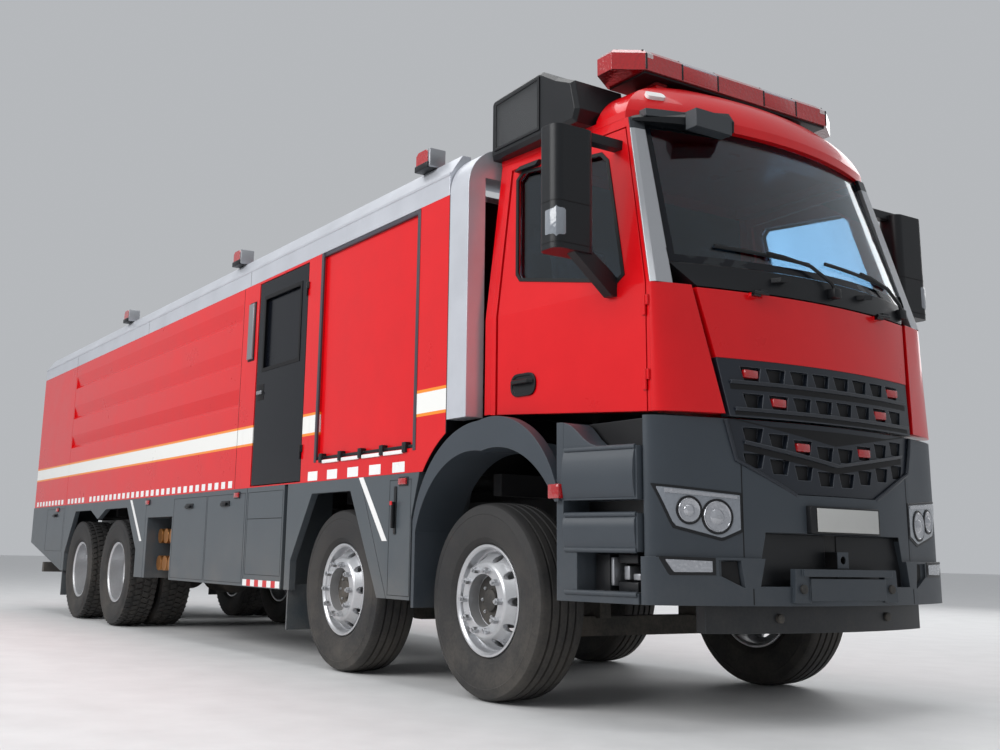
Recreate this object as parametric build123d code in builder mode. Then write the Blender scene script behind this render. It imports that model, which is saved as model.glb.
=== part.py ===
"""Airport fire truck on a heavy four-axle road chassis, built as separate named sub-parts.

Millimetres. X points forward, Y to the vehicle's left, Z up. The origin lies on the ground
at mid-length on the centre line.
"""

import os

from build123d import *

# Driving dimensions
overall_length = 11700.0
body_width = 2500.0
cab_width = 2300.0
cab_taper = 100.0
front_overhang = 1480.0
steer_spacing = 1700.0
tandem_spacing = 1350.0
rear_overhang = 2270.0
tyre_radius = 530.0
tyre_width = 310.0
rim_radius = 300.0
steer_track = 2070.0
twin_track = 1820.0
twin_spacing = 350.0
kingpin_spacing = 1800.0
skirt_bottom = 500.0
body_floor = 1250.0
body_top = 2910.0
rail_height = 270.0
cab_bottom = 1465.0
cab_waist = 2105.0
cab_eaves = 3060.0
roof_crown = 340.0
frame_top = 1020.0
frame_depth = 300.0
frame_width = 860.0

# Clearances
seam = 8.0
door_gap = 20.0
flap_gap = 30.0
running = 0.3

# Derived positions
front_x = overall_length / 2
rear_x = -front_x
axle_1 = front_x - front_overhang
axle_2 = axle_1 - steer_spacing
axle_4 = rear_x + rear_overhang
axle_3 = axle_4 + tandem_spacing
wheelbase = axle_2 - axle_3
half_body = body_width / 2
half_cab = cab_width / 2
half_frame = frame_width / 2
steer_y = steer_track / 2
twin_y = twin_track / 2
kingpin_y = kingpin_spacing / 2
hub_z = tyre_radius
rail_top = body_top + rail_height
frame_bottom = frame_top - frame_depth
rail_width = 80.0

cab_back = axle_1 - 60.0
cab_front = front_x - 262.0
bulkhead = front_x - 290.0
side_wall = 60.0
cab_lean = 110.0
hoop_front = cab_back - 40.0
hoop_rear = hoop_front - 200.0
locker_rear = axle_2 - 430.0
pump_rear = locker_rear - 1220.0
tank_rear = axle_4 - 680.0


def block(x, y, z, mode=Mode.ADD):
    """Box between low and high pairs on each axis."""
    with Locations(((x[0] + x[1]) / 2, (y[0] + y[1]) / 2, (z[0] + z[1]) / 2)):
        Box(x[1] - x[0], y[1] - y[0], z[1] - z[0], mode=mode)


def side_plate(points, inner, outer, mode=Mode.ADD):
    """Right-hand plate from an outline of x and z points, between two distances from the centre line."""
    with BuildSketch(Plane.XZ.offset(inner)) as outline:
        Polygon(*points, align=None)
    extrude(outline.sketch, amount=outer - inner, mode=mode)


def front_plate(points, x_low, x_high, mode=Mode.ADD):
    """Plate across the vehicle from an outline of y and z points."""
    with BuildSketch(Plane.YZ.offset(x_low)) as outline:
        Polygon(*points, align=None)
    extrude(outline.sketch, amount=x_high - x_low, mode=mode)


def bow(z, crown, half, sag, thick):
    """Sketch of a bowed band: a plan arc that falls back by sag at its two ends."""
    with BuildSketch(Plane.XY.offset(z)) as band:
        with BuildLine():
            ThreePointArc((crown - sag, -half), (crown, 0), (crown - sag, half))
            Line((crown - sag, half), (crown - sag - thick, half))
            ThreePointArc((crown - sag - thick, half), (crown - thick, 0), (crown - sag - thick, -half))
            Line((crown - sag - thick, -half), (crown - sag, -half))
        make_face()
    return band.sketch


def wheel_plane(x, y, side):
    """Profile plane at a wheel centre: local x points outboard, local y points up."""
    return Plane(origin=(x, y, hub_z), x_dir=(0, side, 0), z_dir=(side, 0, 0))


def spin_axis(x, y):
    """Wheel axis through a wheel centre."""
    return Axis((x, y, hub_z), (0, 1, 0))


# Tyres and rims
bead = rim_radius - 14.0
half_tyre = tyre_width / 2
rim_half = 124.0
hub_bore = 60.0


def tyre_ring(x, y, side):
    """One tyre as a ring that seats on the rim with a small clearance."""
    seat = bead + running
    wall = rim_half - 13.0
    crown = tyre_radius
    with BuildSketch(wheel_plane(x, y, side)) as section:
        with BuildLine():
            Line((-wall, seat), (wall, seat))
            Line((wall, seat), (wall, rim_radius + 3))
            ThreePointArc((wall, rim_radius + 3), (half_tyre, (rim_radius + crown) / 2),
                          (half_tyre - 22, crown - 24))
            ThreePointArc((half_tyre - 22, crown - 24), (half_tyre - 32, crown - 10), (half_tyre - 50, crown - 4))
            ThreePointArc((half_tyre - 50, crown - 4), (0, crown), (50 - half_tyre, crown - 4))
            ThreePointArc((50 - half_tyre, crown - 4), (32 - half_tyre, crown - 10), (22 - half_tyre, crown - 24))
            ThreePointArc((22 - half_tyre, crown - 24), (-half_tyre, (rim_radius + crown) / 2),
                          (-wall, rim_radius + 3))
            Line((-wall, rim_radius + 3), (-wall, seat))
        make_face()
    revolve(section.sketch, axis=spin_axis(x, y))


def steer_tyre(name, x, side):
    """Single tyre of a steered wheel."""
    with BuildPart() as tyre:
        tyre_ring(x, side * steer_y, side)
    tyre.part.label = name
    return tyre.part


def steer_rim(name, x, side):
    """Disc wheel with its hub: the disc stands out to the outer flange."""
    y = side * steer_y
    bore = hub_bore + running
    points = [
        (rim_half, rim_radius), (rim_half, rim_radius - 12), (rim_half - 12, rim_radius - 24),
        (58, rim_radius - 28), (58, rim_radius - 38), (140, 206), (148, 196), (148, 141), (80, 141),
        (80, 0), (70, 0), (70, bore), (-52, bore), (-52, 150), (128, 150), (128, 190),
        (30, rim_radius - 38), (30, bead - 12), (12 - rim_half, bead - 12), (-rim_half, rim_radius - 12),
        (-rim_half, rim_radius), (12 - rim_half, rim_radius), (12 - rim_half, bead), (rim_half - 12, bead),
        (rim_half - 12, rim_radius),
    ]
    with BuildPart() as rim:
        with BuildSketch(wheel_plane(x, y, side)) as section:
            Polygon(*points, align=None)
        revolve(section.sketch, axis=spin_axis(x, y))
        with BuildSketch(Plane(origin=(x, y, hub_z), x_dir=(1, 0, 0), z_dir=(0, side, 0))) as holes:
            with PolarLocations((206 + rim_radius - 38) / 2, 10):
                Circle(23)
        extrude(holes.sketch, amount=200, mode=Mode.SUBTRACT)
    rim.part.label = name
    return rim.part


def twin_tyres(name, x, side):
    """Pair of tyres on one twin wheel."""
    with BuildPart() as tyres:
        tyre_ring(x, side * (twin_y + twin_spacing / 2), side)
        tyre_ring(x, side * (twin_y - twin_spacing / 2), side)
    tyres.part.label = name
    return tyres.part


def twin_rims(name, x, side):
    """Two deep-dished rims joined at the hub."""
    y = side * twin_y
    bore = hub_bore + running
    mid = twin_spacing / 2
    out = mid + rim_half
    low = mid - rim_half
    points = [
        (out, rim_radius), (out, rim_radius - 12), (out - 12, rim_radius - 24), (140, rim_radius - 28),
        (140, rim_radius - 38), (22, 200), (22, 142), (150, 122), (160, 112), (160, 0), (140, 0), (140, bore),
        (-150, bore), (-150, 140), (-22, 140), (-22, 200), (-140, rim_radius - 38), (-140, rim_radius - 28),
        (12 - out, rim_radius - 24), (-out, rim_radius - 12), (-out, rim_radius), (12 - out, rim_radius),
        (12 - out, bead), (-low - 12, bead), (-low - 12, rim_radius), (-low, rim_radius),
        (-low, rim_radius - 12), (-low - 12, bead - 12), (-112, bead - 12), (-112, rim_radius - 38), (0, 204),
        (112, rim_radius - 38), (112, bead - 12), (low + 12, bead - 12), (low, rim_radius - 12),
        (low, rim_radius), (low + 12, rim_radius), (low + 12, bead), (out - 12, bead), (out - 12, rim_radius),
    ]
    with BuildPart() as rims:
        with BuildSketch(wheel_plane(x, y, side)) as section:
            Polygon(*points, align=None)
        revolve(section.sketch, axis=spin_axis(x, y))
    rims.part.label = name
    return rims.part


def knuckle(name, x, side):
    """Steering knuckle: kingpin, fork plates and the wheel spindle."""
    y = side * kingpin_y
    spindle_end = steer_y + 60.0
    with BuildPart() as body:
        with Locations((x, y, hub_z)):
            Cylinder(25, 210)
            with Locations((0, 0, 85), (0, 0, -85)):
                Cylinder(56, 40)
        block((x - 56, x + 56), (min(y + side * 30, y + side * 76), max(y + side * 30, y + side * 76)),
              (hub_z + 65, hub_z + 105))
        block((x - 56, x + 56), (min(y + side * 30, y + side * 76), max(y + side * 30, y + side * 76)),
              (hub_z - 105, hub_z - 65))
        block((x - 56, x + 56), (min(y + side * 56, y + side * 76), max(y + side * 56, y + side * 76)),
              (hub_z - 105, hub_z + 105))
        with BuildSketch(Plane(origin=(x, y + side * 60, hub_z), x_dir=(1, 0, 0), z_dir=(0, side, 0))) as end:
            Circle(hub_bore)
        extrude(end.sketch, amount=spindle_end - kingpin_y - 60)
    body.part.label = name
    return body.part


# Running gear
boss_half = 60.0
spring_y = half_frame - rail_width / 2
locker_depth = 400.0
bearer = half_body - locker_depth - 10
bumper_back = front_x - 180.0
cab_floor = cab_bottom + 90.0
tow_z = frame_top - 150.0
tow_bore = 25.0
tow_socket = 20.0
rail_front = front_x - 420.0
subframe_top = frame_top + 100.0
underrun_top = 580.0

with BuildPart() as chassis_frame:
    for side in (-1, 1):
        rail_y = (side * spring_y - rail_width / 2, side * spring_y + rail_width / 2)
        block((rear_x + 260, rail_front), rail_y, (frame_bottom, frame_top))
        block((rear_x + 260, hoop_rear), rail_y, (frame_top, subframe_top))
        block((rear_x + 300, rear_x + 380), rail_y, (underrun_top, frame_bottom))

with BuildPart() as frame_members:
    inner = half_frame - rail_width
    for step in range(4):
        x = axle_2 - 500 - step * (wheelbase - 1000) / 3
        block((x - 60, x + 60), (-inner, inner), (frame_top - 120, frame_top - 10))
    for x in ((axle_3 + axle_4) / 2, axle_4 - 700):
        block((x - 60, x + 60), (-inner, inner), (frame_top - 120, frame_top - 10))
    block((rear_x + 260, rear_x + 340), (-inner, inner), (frame_bottom, frame_top))
    block((rail_front, bumper_back), (-540, 540), (frame_bottom - 20, frame_bottom + 140))
    for x in (hoop_rear - 60, locker_rear + 60, locker_rear - 120, pump_rear + 90, pump_rear - 400,
              (pump_rear + axle_3) / 2, axle_3, axle_4, tank_rear - 100, rear_x + 320):
        block((x - 40, x + 40), (-bearer, bearer), (subframe_top, body_floor))
    block((rear_x + 300, rear_x + 380), (-1150, 1150), (underrun_top - 120, underrun_top))
    for x in (axle_1 + 60, rail_front - 30):
        for y in (-spring_y, spring_y):
            block((x - 25, x + 25), (y - 40, y + 40), (frame_top, cab_floor))
    block((rear_x + 180, rear_x + 260), (-80, 80), (tow_z - 80, tow_z + 80))
    with Locations((rear_x + 220, 0, tow_z)):
        Cylinder(tow_bore, 200, mode=Mode.SUBTRACT)

with BuildPart() as axle_beams:
    for x in (axle_1, axle_2):
        reach = kingpin_y - 20
        front_plate([(-reach, hub_z - boss_half), (-reach, hub_z + boss_half), (-reach + 100, hub_z + boss_half),
                     (-560, hub_z - 90), (560, hub_z - 90), (reach - 100, hub_z + boss_half),
                     (reach, hub_z + boss_half), (reach, hub_z - boss_half), (reach - 120, hub_z - boss_half),
                     (560, hub_z - 200), (-560, hub_z - 200), (120 - reach, hub_z - boss_half)], x - 50, x + 50)
        for side in (-1, 1):
            with Locations((x, side * kingpin_y, hub_z)):
                Cylinder(50, 2 * boss_half)
            y = side * spring_y
            block((x - 90, x + 90), (y - 40, y + 40), (hub_z - 100, frame_bottom - 110))
            with BuildSketch(Plane.XZ.offset(-y)) as spring:
                with BuildLine():
                    ThreePointArc((x - 740, frame_bottom - 40), (x, frame_bottom - 120), (x + 740, frame_bottom - 40))
                    Line((x + 740, frame_bottom - 40), (x + 740, frame_bottom - 10))
                    ThreePointArc((x + 740, frame_bottom - 10), (x, frame_bottom - 50), (x - 740, frame_bottom - 10))
                    Line((x - 740, frame_bottom - 10), (x - 740, frame_bottom - 40))
                make_face()
            extrude(spring.sketch, amount=36, both=True)
            for end in (x - 700, x + 700):
                block((end - 40, end + 40), (y - 40, y + 40), (frame_bottom - 40, frame_bottom))
    for x in (axle_1, axle_2):
        for side in (-1, 1):
            with Locations((x, side * kingpin_y, hub_z)):
                Cylinder(25 + running, 2 * boss_half + 20, mode=Mode.SUBTRACT)
    for x in (axle_3, axle_4):
        with Locations((x, 0, hub_z)):
            Cylinder(95, 2 * (twin_y - 165), rotation=(90, 0, 0))
            Cylinder(hub_bore, 2 * (twin_y + 130), rotation=(90, 0, 0))
            Cylinder(200, 480, rotation=(0, 90, 0))
    bogie = (axle_3 + axle_4) / 2
    for side in (-1, 1):
        y = side * (half_frame + 50)
        block((axle_4 - 120, axle_3 + 120), (y - 40, y + 40), (hub_z + 85, hub_z + 175))
        block((bogie - 130, bogie + 130), (y - 50, y + 50), (hub_z + 120, frame_top - 120))

with BuildPart() as driveline:
    mount = half_frame - rail_width
    block((axle_1 - 250, axle_1 + 850), (-300, 300), (hub_z + 90, cab_bottom - 65))
    for x in (axle_1 - 150, axle_1 + 700):
        block((x - 50, x + 50), (-mount, mount), (frame_bottom + 80, frame_bottom + 180))
    block((axle_1 + 850, axle_1 + 1000), (-440, 440), (frame_top + 10, cab_bottom - 65))
    block((axle_1 - 1150, axle_1 - 250), (-220, 220), (hub_z + 120, frame_top - 10))
    with BuildSketch(Plane.YZ.offset(axle_1 - 1150)) as output:
        with Locations((0, hub_z + 230)):
            Circle(58)
    with BuildSketch(Plane.YZ.offset(axle_3 + 240)) as pinion:
        with Locations((0, hub_z + 30)):
            Circle(58)
    loft([output.sketch, pinion.sketch])
    with BuildSketch(Plane.YZ.offset(axle_4 + 240)) as link:
        with Locations((0, hub_z)):
            Circle(58)
    extrude(link.sketch, amount=tandem_spacing - 480)

# Cab
half_front = half_cab - cab_taper
grille_half = 690.0
grille_crown = front_x - 25.0
grille_sag = 72.0
flap_half = 805.0
flap_crown = front_x - 85.0
flap_sag = 102.0
flap_low = cab_waist - 360.0
flap_mid = front_x - 50.0
flap_mid_sag = 86.0
flap_mid_half = 735.0
door_front = cab_front - 28.0
door_rear = cab_back + 100.0
cab_hinges = (cab_bottom + 130.0, cab_waist - 140.0)


def cab_half(x):
    """Half width of the cab's skin below the waist, which narrows to the front."""
    return half_cab - cab_taper * (x - cab_back) / (cab_front - cab_back)


def hinge_leaf(x, y, side, z, way, skin):
    """Hinge barrel with a leaf that reaches forward (way 1) or back (way -1) onto the skin at y = skin."""
    with Locations((x, y, z)):
        Cylinder(7, 50)
    root = skin - 4 * side
    block((min(x, x + way * 22), max(x, x + way * 22)), (min(root, y), max(root, y)), (z - 25, z + 25))


def sill(x):
    """Height of the cab's lower edge, which rises to the back."""
    return cab_bottom + 85 * (cab_front - x) / (cab_front - cab_back)


def pillar_x(z, base):
    """X of a line parallel to the windscreen pillar at height z."""
    return base - max(0.0, z - cab_waist) * 0.25


def cab_wall(x_low, x_high, side, outer, inner, mode=Mode.ADD):
    """Length of the cab's side between two depths from its skin, leaning in above the waist."""
    sections = []
    for x in (x_low, x_high):
        half = cab_half(x)
        with BuildSketch(Plane.YZ.offset(x)) as section:
            Polygon((side * (half - outer), cab_bottom), (side * (half - outer), cab_waist),
                    (side * (half - cab_lean - outer), cab_eaves), (side * (half - cab_lean - inner), cab_eaves),
                    (side * (half - inner), cab_waist), (side * (half - inner), cab_bottom), align=None)
        sections.append(section.sketch)
    loft(sections, ruled=True, mode=mode)


def door_outline(gap_rear, gap_front, gap_top, gap_bottom):
    """Outline of a cab door opening, drawn in or out by its gaps."""
    top = cab_eaves - 60 + gap_top
    return [
        (door_rear - gap_rear, sill(door_rear) - gap_bottom),
        (door_front + gap_front, sill(door_front) - gap_bottom), (door_front + gap_front, cab_waist),
        (pillar_x(top, door_front + gap_front), top), (door_rear - gap_rear, top),
    ]


def window_outline(inset):
    """Outline of the cab door's window, drawn in by inset."""
    low = cab_waist + 40 + inset
    high = cab_eaves - 160 - inset
    front = door_front - 150 - inset
    rear = door_rear + inset
    return [
        (rear + 150, low + 190), (rear + 185, low + 150), (front - 40, low), (front, low + 30),
        (pillar_x(high, front) + 15, high - 55), (pillar_x(high, front) - 40, high), (rear + 110, high + 70),
        (rear + 65, high + 30),
    ]


with BuildPart() as cab_tub:
    back_half = cab_half(cab_back + side_wall)
    front_plate([(-back_half, sill(cab_back)), (-back_half, cab_waist), (cab_lean - back_half, cab_eaves),
                 (back_half - cab_lean, cab_eaves), (back_half, cab_waist), (back_half, sill(cab_back))],
                cab_back, cab_back + side_wall)
    inside = half_front - side_wall - seam
    floor_half = back_half - side_wall - seam
    with BuildSketch(Plane.XY.offset(cab_floor)) as floor:
        Polygon((cab_back, -floor_half), (bulkhead + 40, -inside), (bulkhead + 40, inside), (cab_back, floor_half),
                align=None)
    extrude(floor.sketch, amount=60)
    block((bulkhead, bulkhead + 40), (-inside, inside), (cab_bottom, cab_waist))
    corners = []
    for z, edge, end, lead, mid in ((cab_bottom, grille_half, grille_crown - grille_sag - 2, 64.0, 108.0),
                                    (cab_waist, flap_half, flap_crown - flap_sag - 2, 30.0, 52.0)):
        with BuildSketch(Plane.XY.offset(z)) as corner:
            with BuildLine():
                Bezier((cab_front, -half_front), (cab_front + lead, 4 - half_front),
                       (cab_front + mid, 130 - half_front), (end, -edge - flap_gap))
                Line((end, -edge - flap_gap), (bulkhead + 20, -edge - flap_gap))
                Line((bulkhead + 20, -edge - flap_gap), (bulkhead + 20, -inside))
                Line((bulkhead + 20, -inside), (cab_front, -inside))
                Line((cab_front, -inside), (cab_front, -half_front))
            make_face()
        corners.append(corner.sketch)
    loft(corners)
    mirror(about=Plane.XZ)
    block((bulkhead, bulkhead + 60), (-730, 730), (cab_waist - 60, cab_waist))

with BuildPart() as cab_side_frames:
    cab_wall(cab_back + side_wall, cab_front, -1, 0, side_wall)
    side_plate([(cab_back, sill(cab_back)), (cab_front, sill(cab_front)), (cab_front, cab_waist),
                (pillar_x(cab_eaves, cab_front), cab_eaves), (cab_back, cab_eaves)], 0, half_cab + 10, Mode.INTERSECT)
    side_plate(door_outline(0, seam, seam, 200), 0, half_cab + 10, Mode.SUBTRACT)
    for z in cab_hinges:
        skin = -cab_half(door_front)
        hinge_leaf(door_front + seam / 2, skin - 10, -1, z + 50 + running, 1, skin)
    mirror(about=Plane.XZ)

glass_low = cab_waist + 120.0
glass_crown = front_x - 90.0
brow = front_x - 364.0
brow_half = cab_half(brow) - cab_lean
brow_sag = 190.0
brow_radius = (brow_half ** 2 + brow_sag ** 2) / (2 * brow_sag)
brow_centre = brow + 40 - brow_radius
bar_x = brow - 386.0
bar_foot = cab_eaves + roof_crown - 20
bar_low = cab_eaves + roof_crown + 15
intake = (cab_back - 20.0, brow - 376.0)
intake_inner = half_cab - 390.0
intake_low = cab_eaves + 30.0


def roof_arch(x):
    """Section of the cab roof across the vehicle."""
    edge = cab_half(x) - cab_lean
    with BuildSketch(Plane.YZ.offset(x)) as arch:
        with BuildLine():
            Line((-edge, cab_eaves), (-edge, cab_eaves + 0.12 * roof_crown))
            ThreePointArc((-edge, cab_eaves + 0.12 * roof_crown), (80 - edge, cab_eaves + 0.47 * roof_crown),
                          (270 - edge, cab_eaves + 0.735 * roof_crown))
            ThreePointArc((270 - edge, cab_eaves + 0.735 * roof_crown), (0, cab_eaves + roof_crown),
                          (edge - 270, cab_eaves + 0.735 * roof_crown))
            ThreePointArc((edge - 270, cab_eaves + 0.735 * roof_crown), (edge - 80, cab_eaves + 0.47 * roof_crown),
                          (edge, cab_eaves + 0.12 * roof_crown))
            Line((edge, cab_eaves + 0.12 * roof_crown), (edge, cab_eaves))
            Line((edge, cab_eaves), (-edge, cab_eaves))
        make_face()
    return arch.sketch


with BuildPart() as cab_roof:
    loft([roof_arch(cab_back), roof_arch(brow + 60)], ruled=True)
    with BuildSketch(Plane.XZ) as crown:
        with BuildLine():
            Line((brow_centre, cab_eaves), (brow + 40, cab_eaves))
            Line((brow + 40, cab_eaves), (brow + 40, cab_eaves + 0.15 * roof_crown))
            ThreePointArc((brow + 40, cab_eaves + 0.15 * roof_crown), (brow - 80, cab_eaves + 0.70 * roof_crown),
                          (brow - 400, cab_eaves + roof_crown + 10))
            Line((brow - 400, cab_eaves + roof_crown + 10), (brow_centre, cab_eaves + roof_crown + 10))
            Line((brow_centre, cab_eaves + roof_crown + 10), (brow_centre, cab_eaves))
        make_face()
    revolve(crown.sketch, axis=Axis((brow_centre, 0, 0), (0, 0, 1)), mode=Mode.INTERSECT)
    block((cab_back + side_wall, brow - 250), (side_wall - brow_half, brow_half - side_wall),
          (cab_eaves, cab_eaves + 60), Mode.SUBTRACT)
    for y in (-560, 560):
        block((bar_x - 100, bar_x + 100), (y - 50, y + 50), (cab_eaves + 150, bar_foot))
    block((intake[0], intake[1] + 3), (-half_cab, -intake_inner), (intake_low, intake_low + 400), Mode.SUBTRACT)

with BuildPart() as windscreen:
    loft([bow(glass_low, glass_crown, half_front - 125, 170, 14),
          bow(cab_eaves, brow - 2, half_front - 180, 140, 14)])


def flap_barrel(y):
    """Hinge barrel of the front flap, on the flap's top front edge."""
    with Locations((flap_crown, y, cab_waist - seam)):
        Cylinder(9, 50, rotation=(90, 0, 0))


def brow_band(y_low, y_high, gap):
    """Line along the brow's bow, between two distances right of the centre line."""
    ends = []
    for y in (y_low, (y_low + y_high) / 2, y_high):
        ends.append((brow_centre + ((brow_radius + gap) ** 2 - y ** 2) ** 0.5, y))
    return ThreePointArc(*ends)


with BuildPart() as cab_trim:
    pillars = []
    pillar_top = pillar_x(cab_eaves, cab_front)
    top_skin = cab_half(pillar_top) - cab_lean
    for z, x, skin, glass, deep in ((cab_waist, cab_front, half_front, half_front - 115.5, 45),
                                    (cab_eaves, pillar_top, top_skin, half_front - 179, 24)):
        with BuildSketch(Plane.XY.offset(z)) as foot:
            Polygon((x + 0.5, 2 - skin), (x + 0.6 * deep, 24 - skin), (x + deep, -glass), (x + 0.5, -glass),
                    align=None)
        pillars.append(foot.sketch)
    loft(pillars, ruled=True)
    mirror(about=Plane.XZ)
    loft([bow(cab_waist, flap_crown, 800, flap_sag, 200), bow(glass_low, glass_crown + 2, half_front - 132, 170, 30)])
    for y in (-480, 480):
        flap_barrel(y + 50 + running)
        block((flap_crown - 59, flap_crown), (y + 25 + running, y + 75 + running), (cab_waist - 4, cab_waist + 12))
    with BuildSketch(Plane.XZ.offset(intake_inner)) as scoop:
        Polygon((intake[0], intake_low), (intake[0], bar_low + 55), (intake[1] - 330, bar_low + 75),
                (intake[1] - 185, bar_low - 13), (intake[1] - 40, bar_low - 80), (intake[1], intake_low + 70),
                (intake[1] - 30, intake_low), align=None)
        fillet(scoop.vertices().group_by(Axis.Y)[-2:], 45)
    extrude(scoop.sketch, amount=half_cab - 40 - intake_inner)
    chamfer(cab_trim.faces().sort_by(Axis.Y)[0].edges(), 22)
    with BuildSketch(Plane.XY.offset(cab_eaves + 8)) as visor:
        with BuildLine():
            inner_arc = brow_band(60 - brow_half, -410, running)
            outer_arc = brow_band(60 - brow_half, -410, 48)
            Line(inner_arc @ 0, outer_arc @ 0)
            Line(inner_arc @ 1, outer_arc @ 1)
        make_face()
    extrude(visor.sketch, amount=40)
    block((brow + 16, brow + 96), (-690, -430), (cab_eaves - 60, cab_eaves + 40))

with BuildPart() as dashboard:
    wheel_y = half_cab / 2
    block((bulkhead - 200, bulkhead), (side_wall + 20 - half_front, half_front - side_wall - 20),
          (cab_waist - 330, cab_waist - 30))
    with BuildSketch(Plane(origin=(bulkhead - 200, wheel_y, cab_waist - 130), z_dir=(-1, 0, 0.45))) as column:
        Circle(35)
    extrude(column.sketch, amount=170)
    extrude(column.sketch, amount=-60)
    with BuildSketch(Plane(origin=(bulkhead - 200 - 155, wheel_y, cab_waist - 60), z_dir=(-1, 0, 0.45))) as hoop:
        Circle(225)
        Circle(190, mode=Mode.SUBTRACT)
        Rectangle(400, 40)
    extrude(hoop.sketch, amount=22, both=True)

with BuildPart() as seats:
    seat_y = half_cab / 2
    base = cab_floor + 60
    block((cab_back + 190, cab_back + 640), (seat_y - 200, seat_y + 200), (base, base + 220))
    block((cab_back + 170, cab_back + 690), (seat_y - 260, seat_y + 260), (base + 220, base + 340))
    back_top = cab_eaves - 425
    side_points = [(cab_back + 80, back_top - 10), (cab_back + 190, back_top), (cab_back + 320, base + 330),
                   (cab_back + 170, base + 300)]
    with BuildSketch(Plane.XZ.offset(-seat_y)) as backrest:
        Polygon(*side_points, align=None)
    extrude(backrest.sketch, amount=235, both=True)
    block((cab_back + 85, cab_back + 175), (seat_y - 140, seat_y + 140), (back_top - 20, back_top + 160))
    mirror(about=Plane.XZ)

with BuildPart() as light_bar:
    with BuildSketch(Plane.XY.offset(bar_low)) as bar:
        Polygon((bar_x - 165, -740), (bar_x - 60, -905), (bar_x + 60, -905), (bar_x + 165, -740),
                (bar_x + 165, 740), (bar_x + 60, 905), (bar_x - 60, 905), (bar_x - 165, 740), align=None)
    extrude(bar.sketch, amount=130)
    chamfer(light_bar.edges().group_by(Axis.Z)[-1], 30)
    for y in (-560, 560):
        block((bar_x - 90, bar_x + 90), (y - 40, y + 40), (bar_foot, bar_low + 30))

# Front end
nose = front_x
bumper_half = half_body - 138.0
bumper_rear = cab_front - 23.0
bumper_low = 560.0
low_z = cab_bottom - 20
bumper_split = 780.0
grille_back = bumper_back + 12
scoop_pitch = 155.0


def bumper_band(z_low, z_high, inset):
    """Length of the bumper's wrapped wall, drawn in by inset on its outer side."""
    edge = bumper_half - inset
    tip = nose - inset
    with BuildSketch(Plane.XY.offset(z_low)) as plan:
        with BuildLine():
            Bezier((bumper_rear, -edge), (bumper_rear + 65, 2 - edge), (bumper_rear + 125 - inset, 182 - edge),
                   (tip - 85, -660))
            ThreePointArc((tip - 85, -660), (tip, 0), (tip - 85, 660))
            Bezier((tip - 85, 660), (bumper_rear + 125 - inset, edge - 182), (bumper_rear + 65, edge - 2),
                   (bumper_rear, edge))
            Polyline((bumper_rear, edge), (bumper_rear, bumper_half - 90), (bumper_rear + 25, bumper_half - 152),
                     (bumper_back - 30, 800), (bumper_back, 600), (bumper_back, -600), (bumper_back - 30, -800),
                     (bumper_rear + 25, 152 - bumper_half), (bumper_rear, 90 - bumper_half), (bumper_rear, -edge))
        make_face()
    extrude(plan.sketch, amount=z_high - z_low)


def lamp_outline(inset):
    """Outline of the right-hand headlamp, drawn in by inset."""
    return [(inset - 1060, 1110 - inset), (-640 - inset, 1075 - inset), (-640 - inset, 930 + inset),
            (-760, 905 + inset), (inset - 980, 960 + inset)]


def fog_outline(inset):
    """Outline of the right-hand fog lamp, drawn in by inset."""
    return [(inset - 1045, 772 - inset), (-800 - inset, 772 - inset), (-815 - inset, 706 + inset),
            (inset - 1015, 706 + inset)]


def grille_outline(inset):
    """Outline of the lower grille: a wide V with a flat foot."""
    return [(inset - 700, low_z), (700 - inset, low_z), (650 - inset, 1250), (300, 1090 + inset),
            (-300, 1090 + inset), (inset - 650, 1250)]


def scoops(z_mid, rise, crown, sag, half):
    """Row of eight tapered pockets along a bowed grille, the row rising by rise to its two ends."""
    for place in range(8):
        y = (place - 3.5) * scoop_pitch
        z = z_mid + rise * abs(y) / half
        back = crown - sag * (y / half) ** 2 - 26
        front_plate([(y - 62, z + 38), (y + 62, z + 38), (y + 44, z - 34), (y - 44, z - 34)], back, nose + 50,
                    Mode.SUBTRACT)


with BuildPart() as bumper:
    bumper_band(bumper_split, low_z, 24)
    bumper_band(bumper_low, bumper_split, 0)
    extrude(bow(bumper_low - 130, nose - 70, 800, 120, 60), amount=130)
    front_plate(grille_outline(0), grille_back, nose + 50, Mode.SUBTRACT)
    front_plate([(-560, 650), (560, 650), (500, 905), (-500, 905)], nose - 110, nose + 50, Mode.SUBTRACT)
    for side in (-1, 1):
        front_plate([(side * y, z) for y, z in lamp_outline(0)], nose - 700, nose + 50, Mode.SUBTRACT)
        front_plate([(side * y, z) for y, z in fog_outline(0)], nose - 700, nose + 50, Mode.SUBTRACT)
        front_plate([(side * 640, 640), (side * 660, 770), (side * 775, 770), (side * 775, 700)], nose - 130,
                    nose + 50, Mode.SUBTRACT)
    block((nose - 115, nose - 30), (-40, 40), (740, 820))
    with BuildSketch(Plane.YZ.offset(nose - 30)) as socket:
        with Locations((0, 780)):
            Circle(tow_socket)
    extrude(socket.sketch, amount=-60, mode=Mode.SUBTRACT)

with BuildPart() as lower_grille:
    with BuildSketch(Plane.XY.offset(1080)) as plan:
        with BuildLine():
            ThreePointArc((nose - 128, -720), (nose - 42, 0), (nose - 128, 720))
            Polyline((nose - 128, 720), (grille_back, 720), (grille_back, -720), (nose - 128, -720))
        make_face()
    extrude(plan.sketch, amount=low_z - 1080)
    front_plate(grille_outline(4), nose - 200, nose + 50, Mode.INTERSECT)
    scoops(1290, 105, nose - 42, 86, 720)
    scoops(1165, 105, nose - 42, 86, 720)

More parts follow.
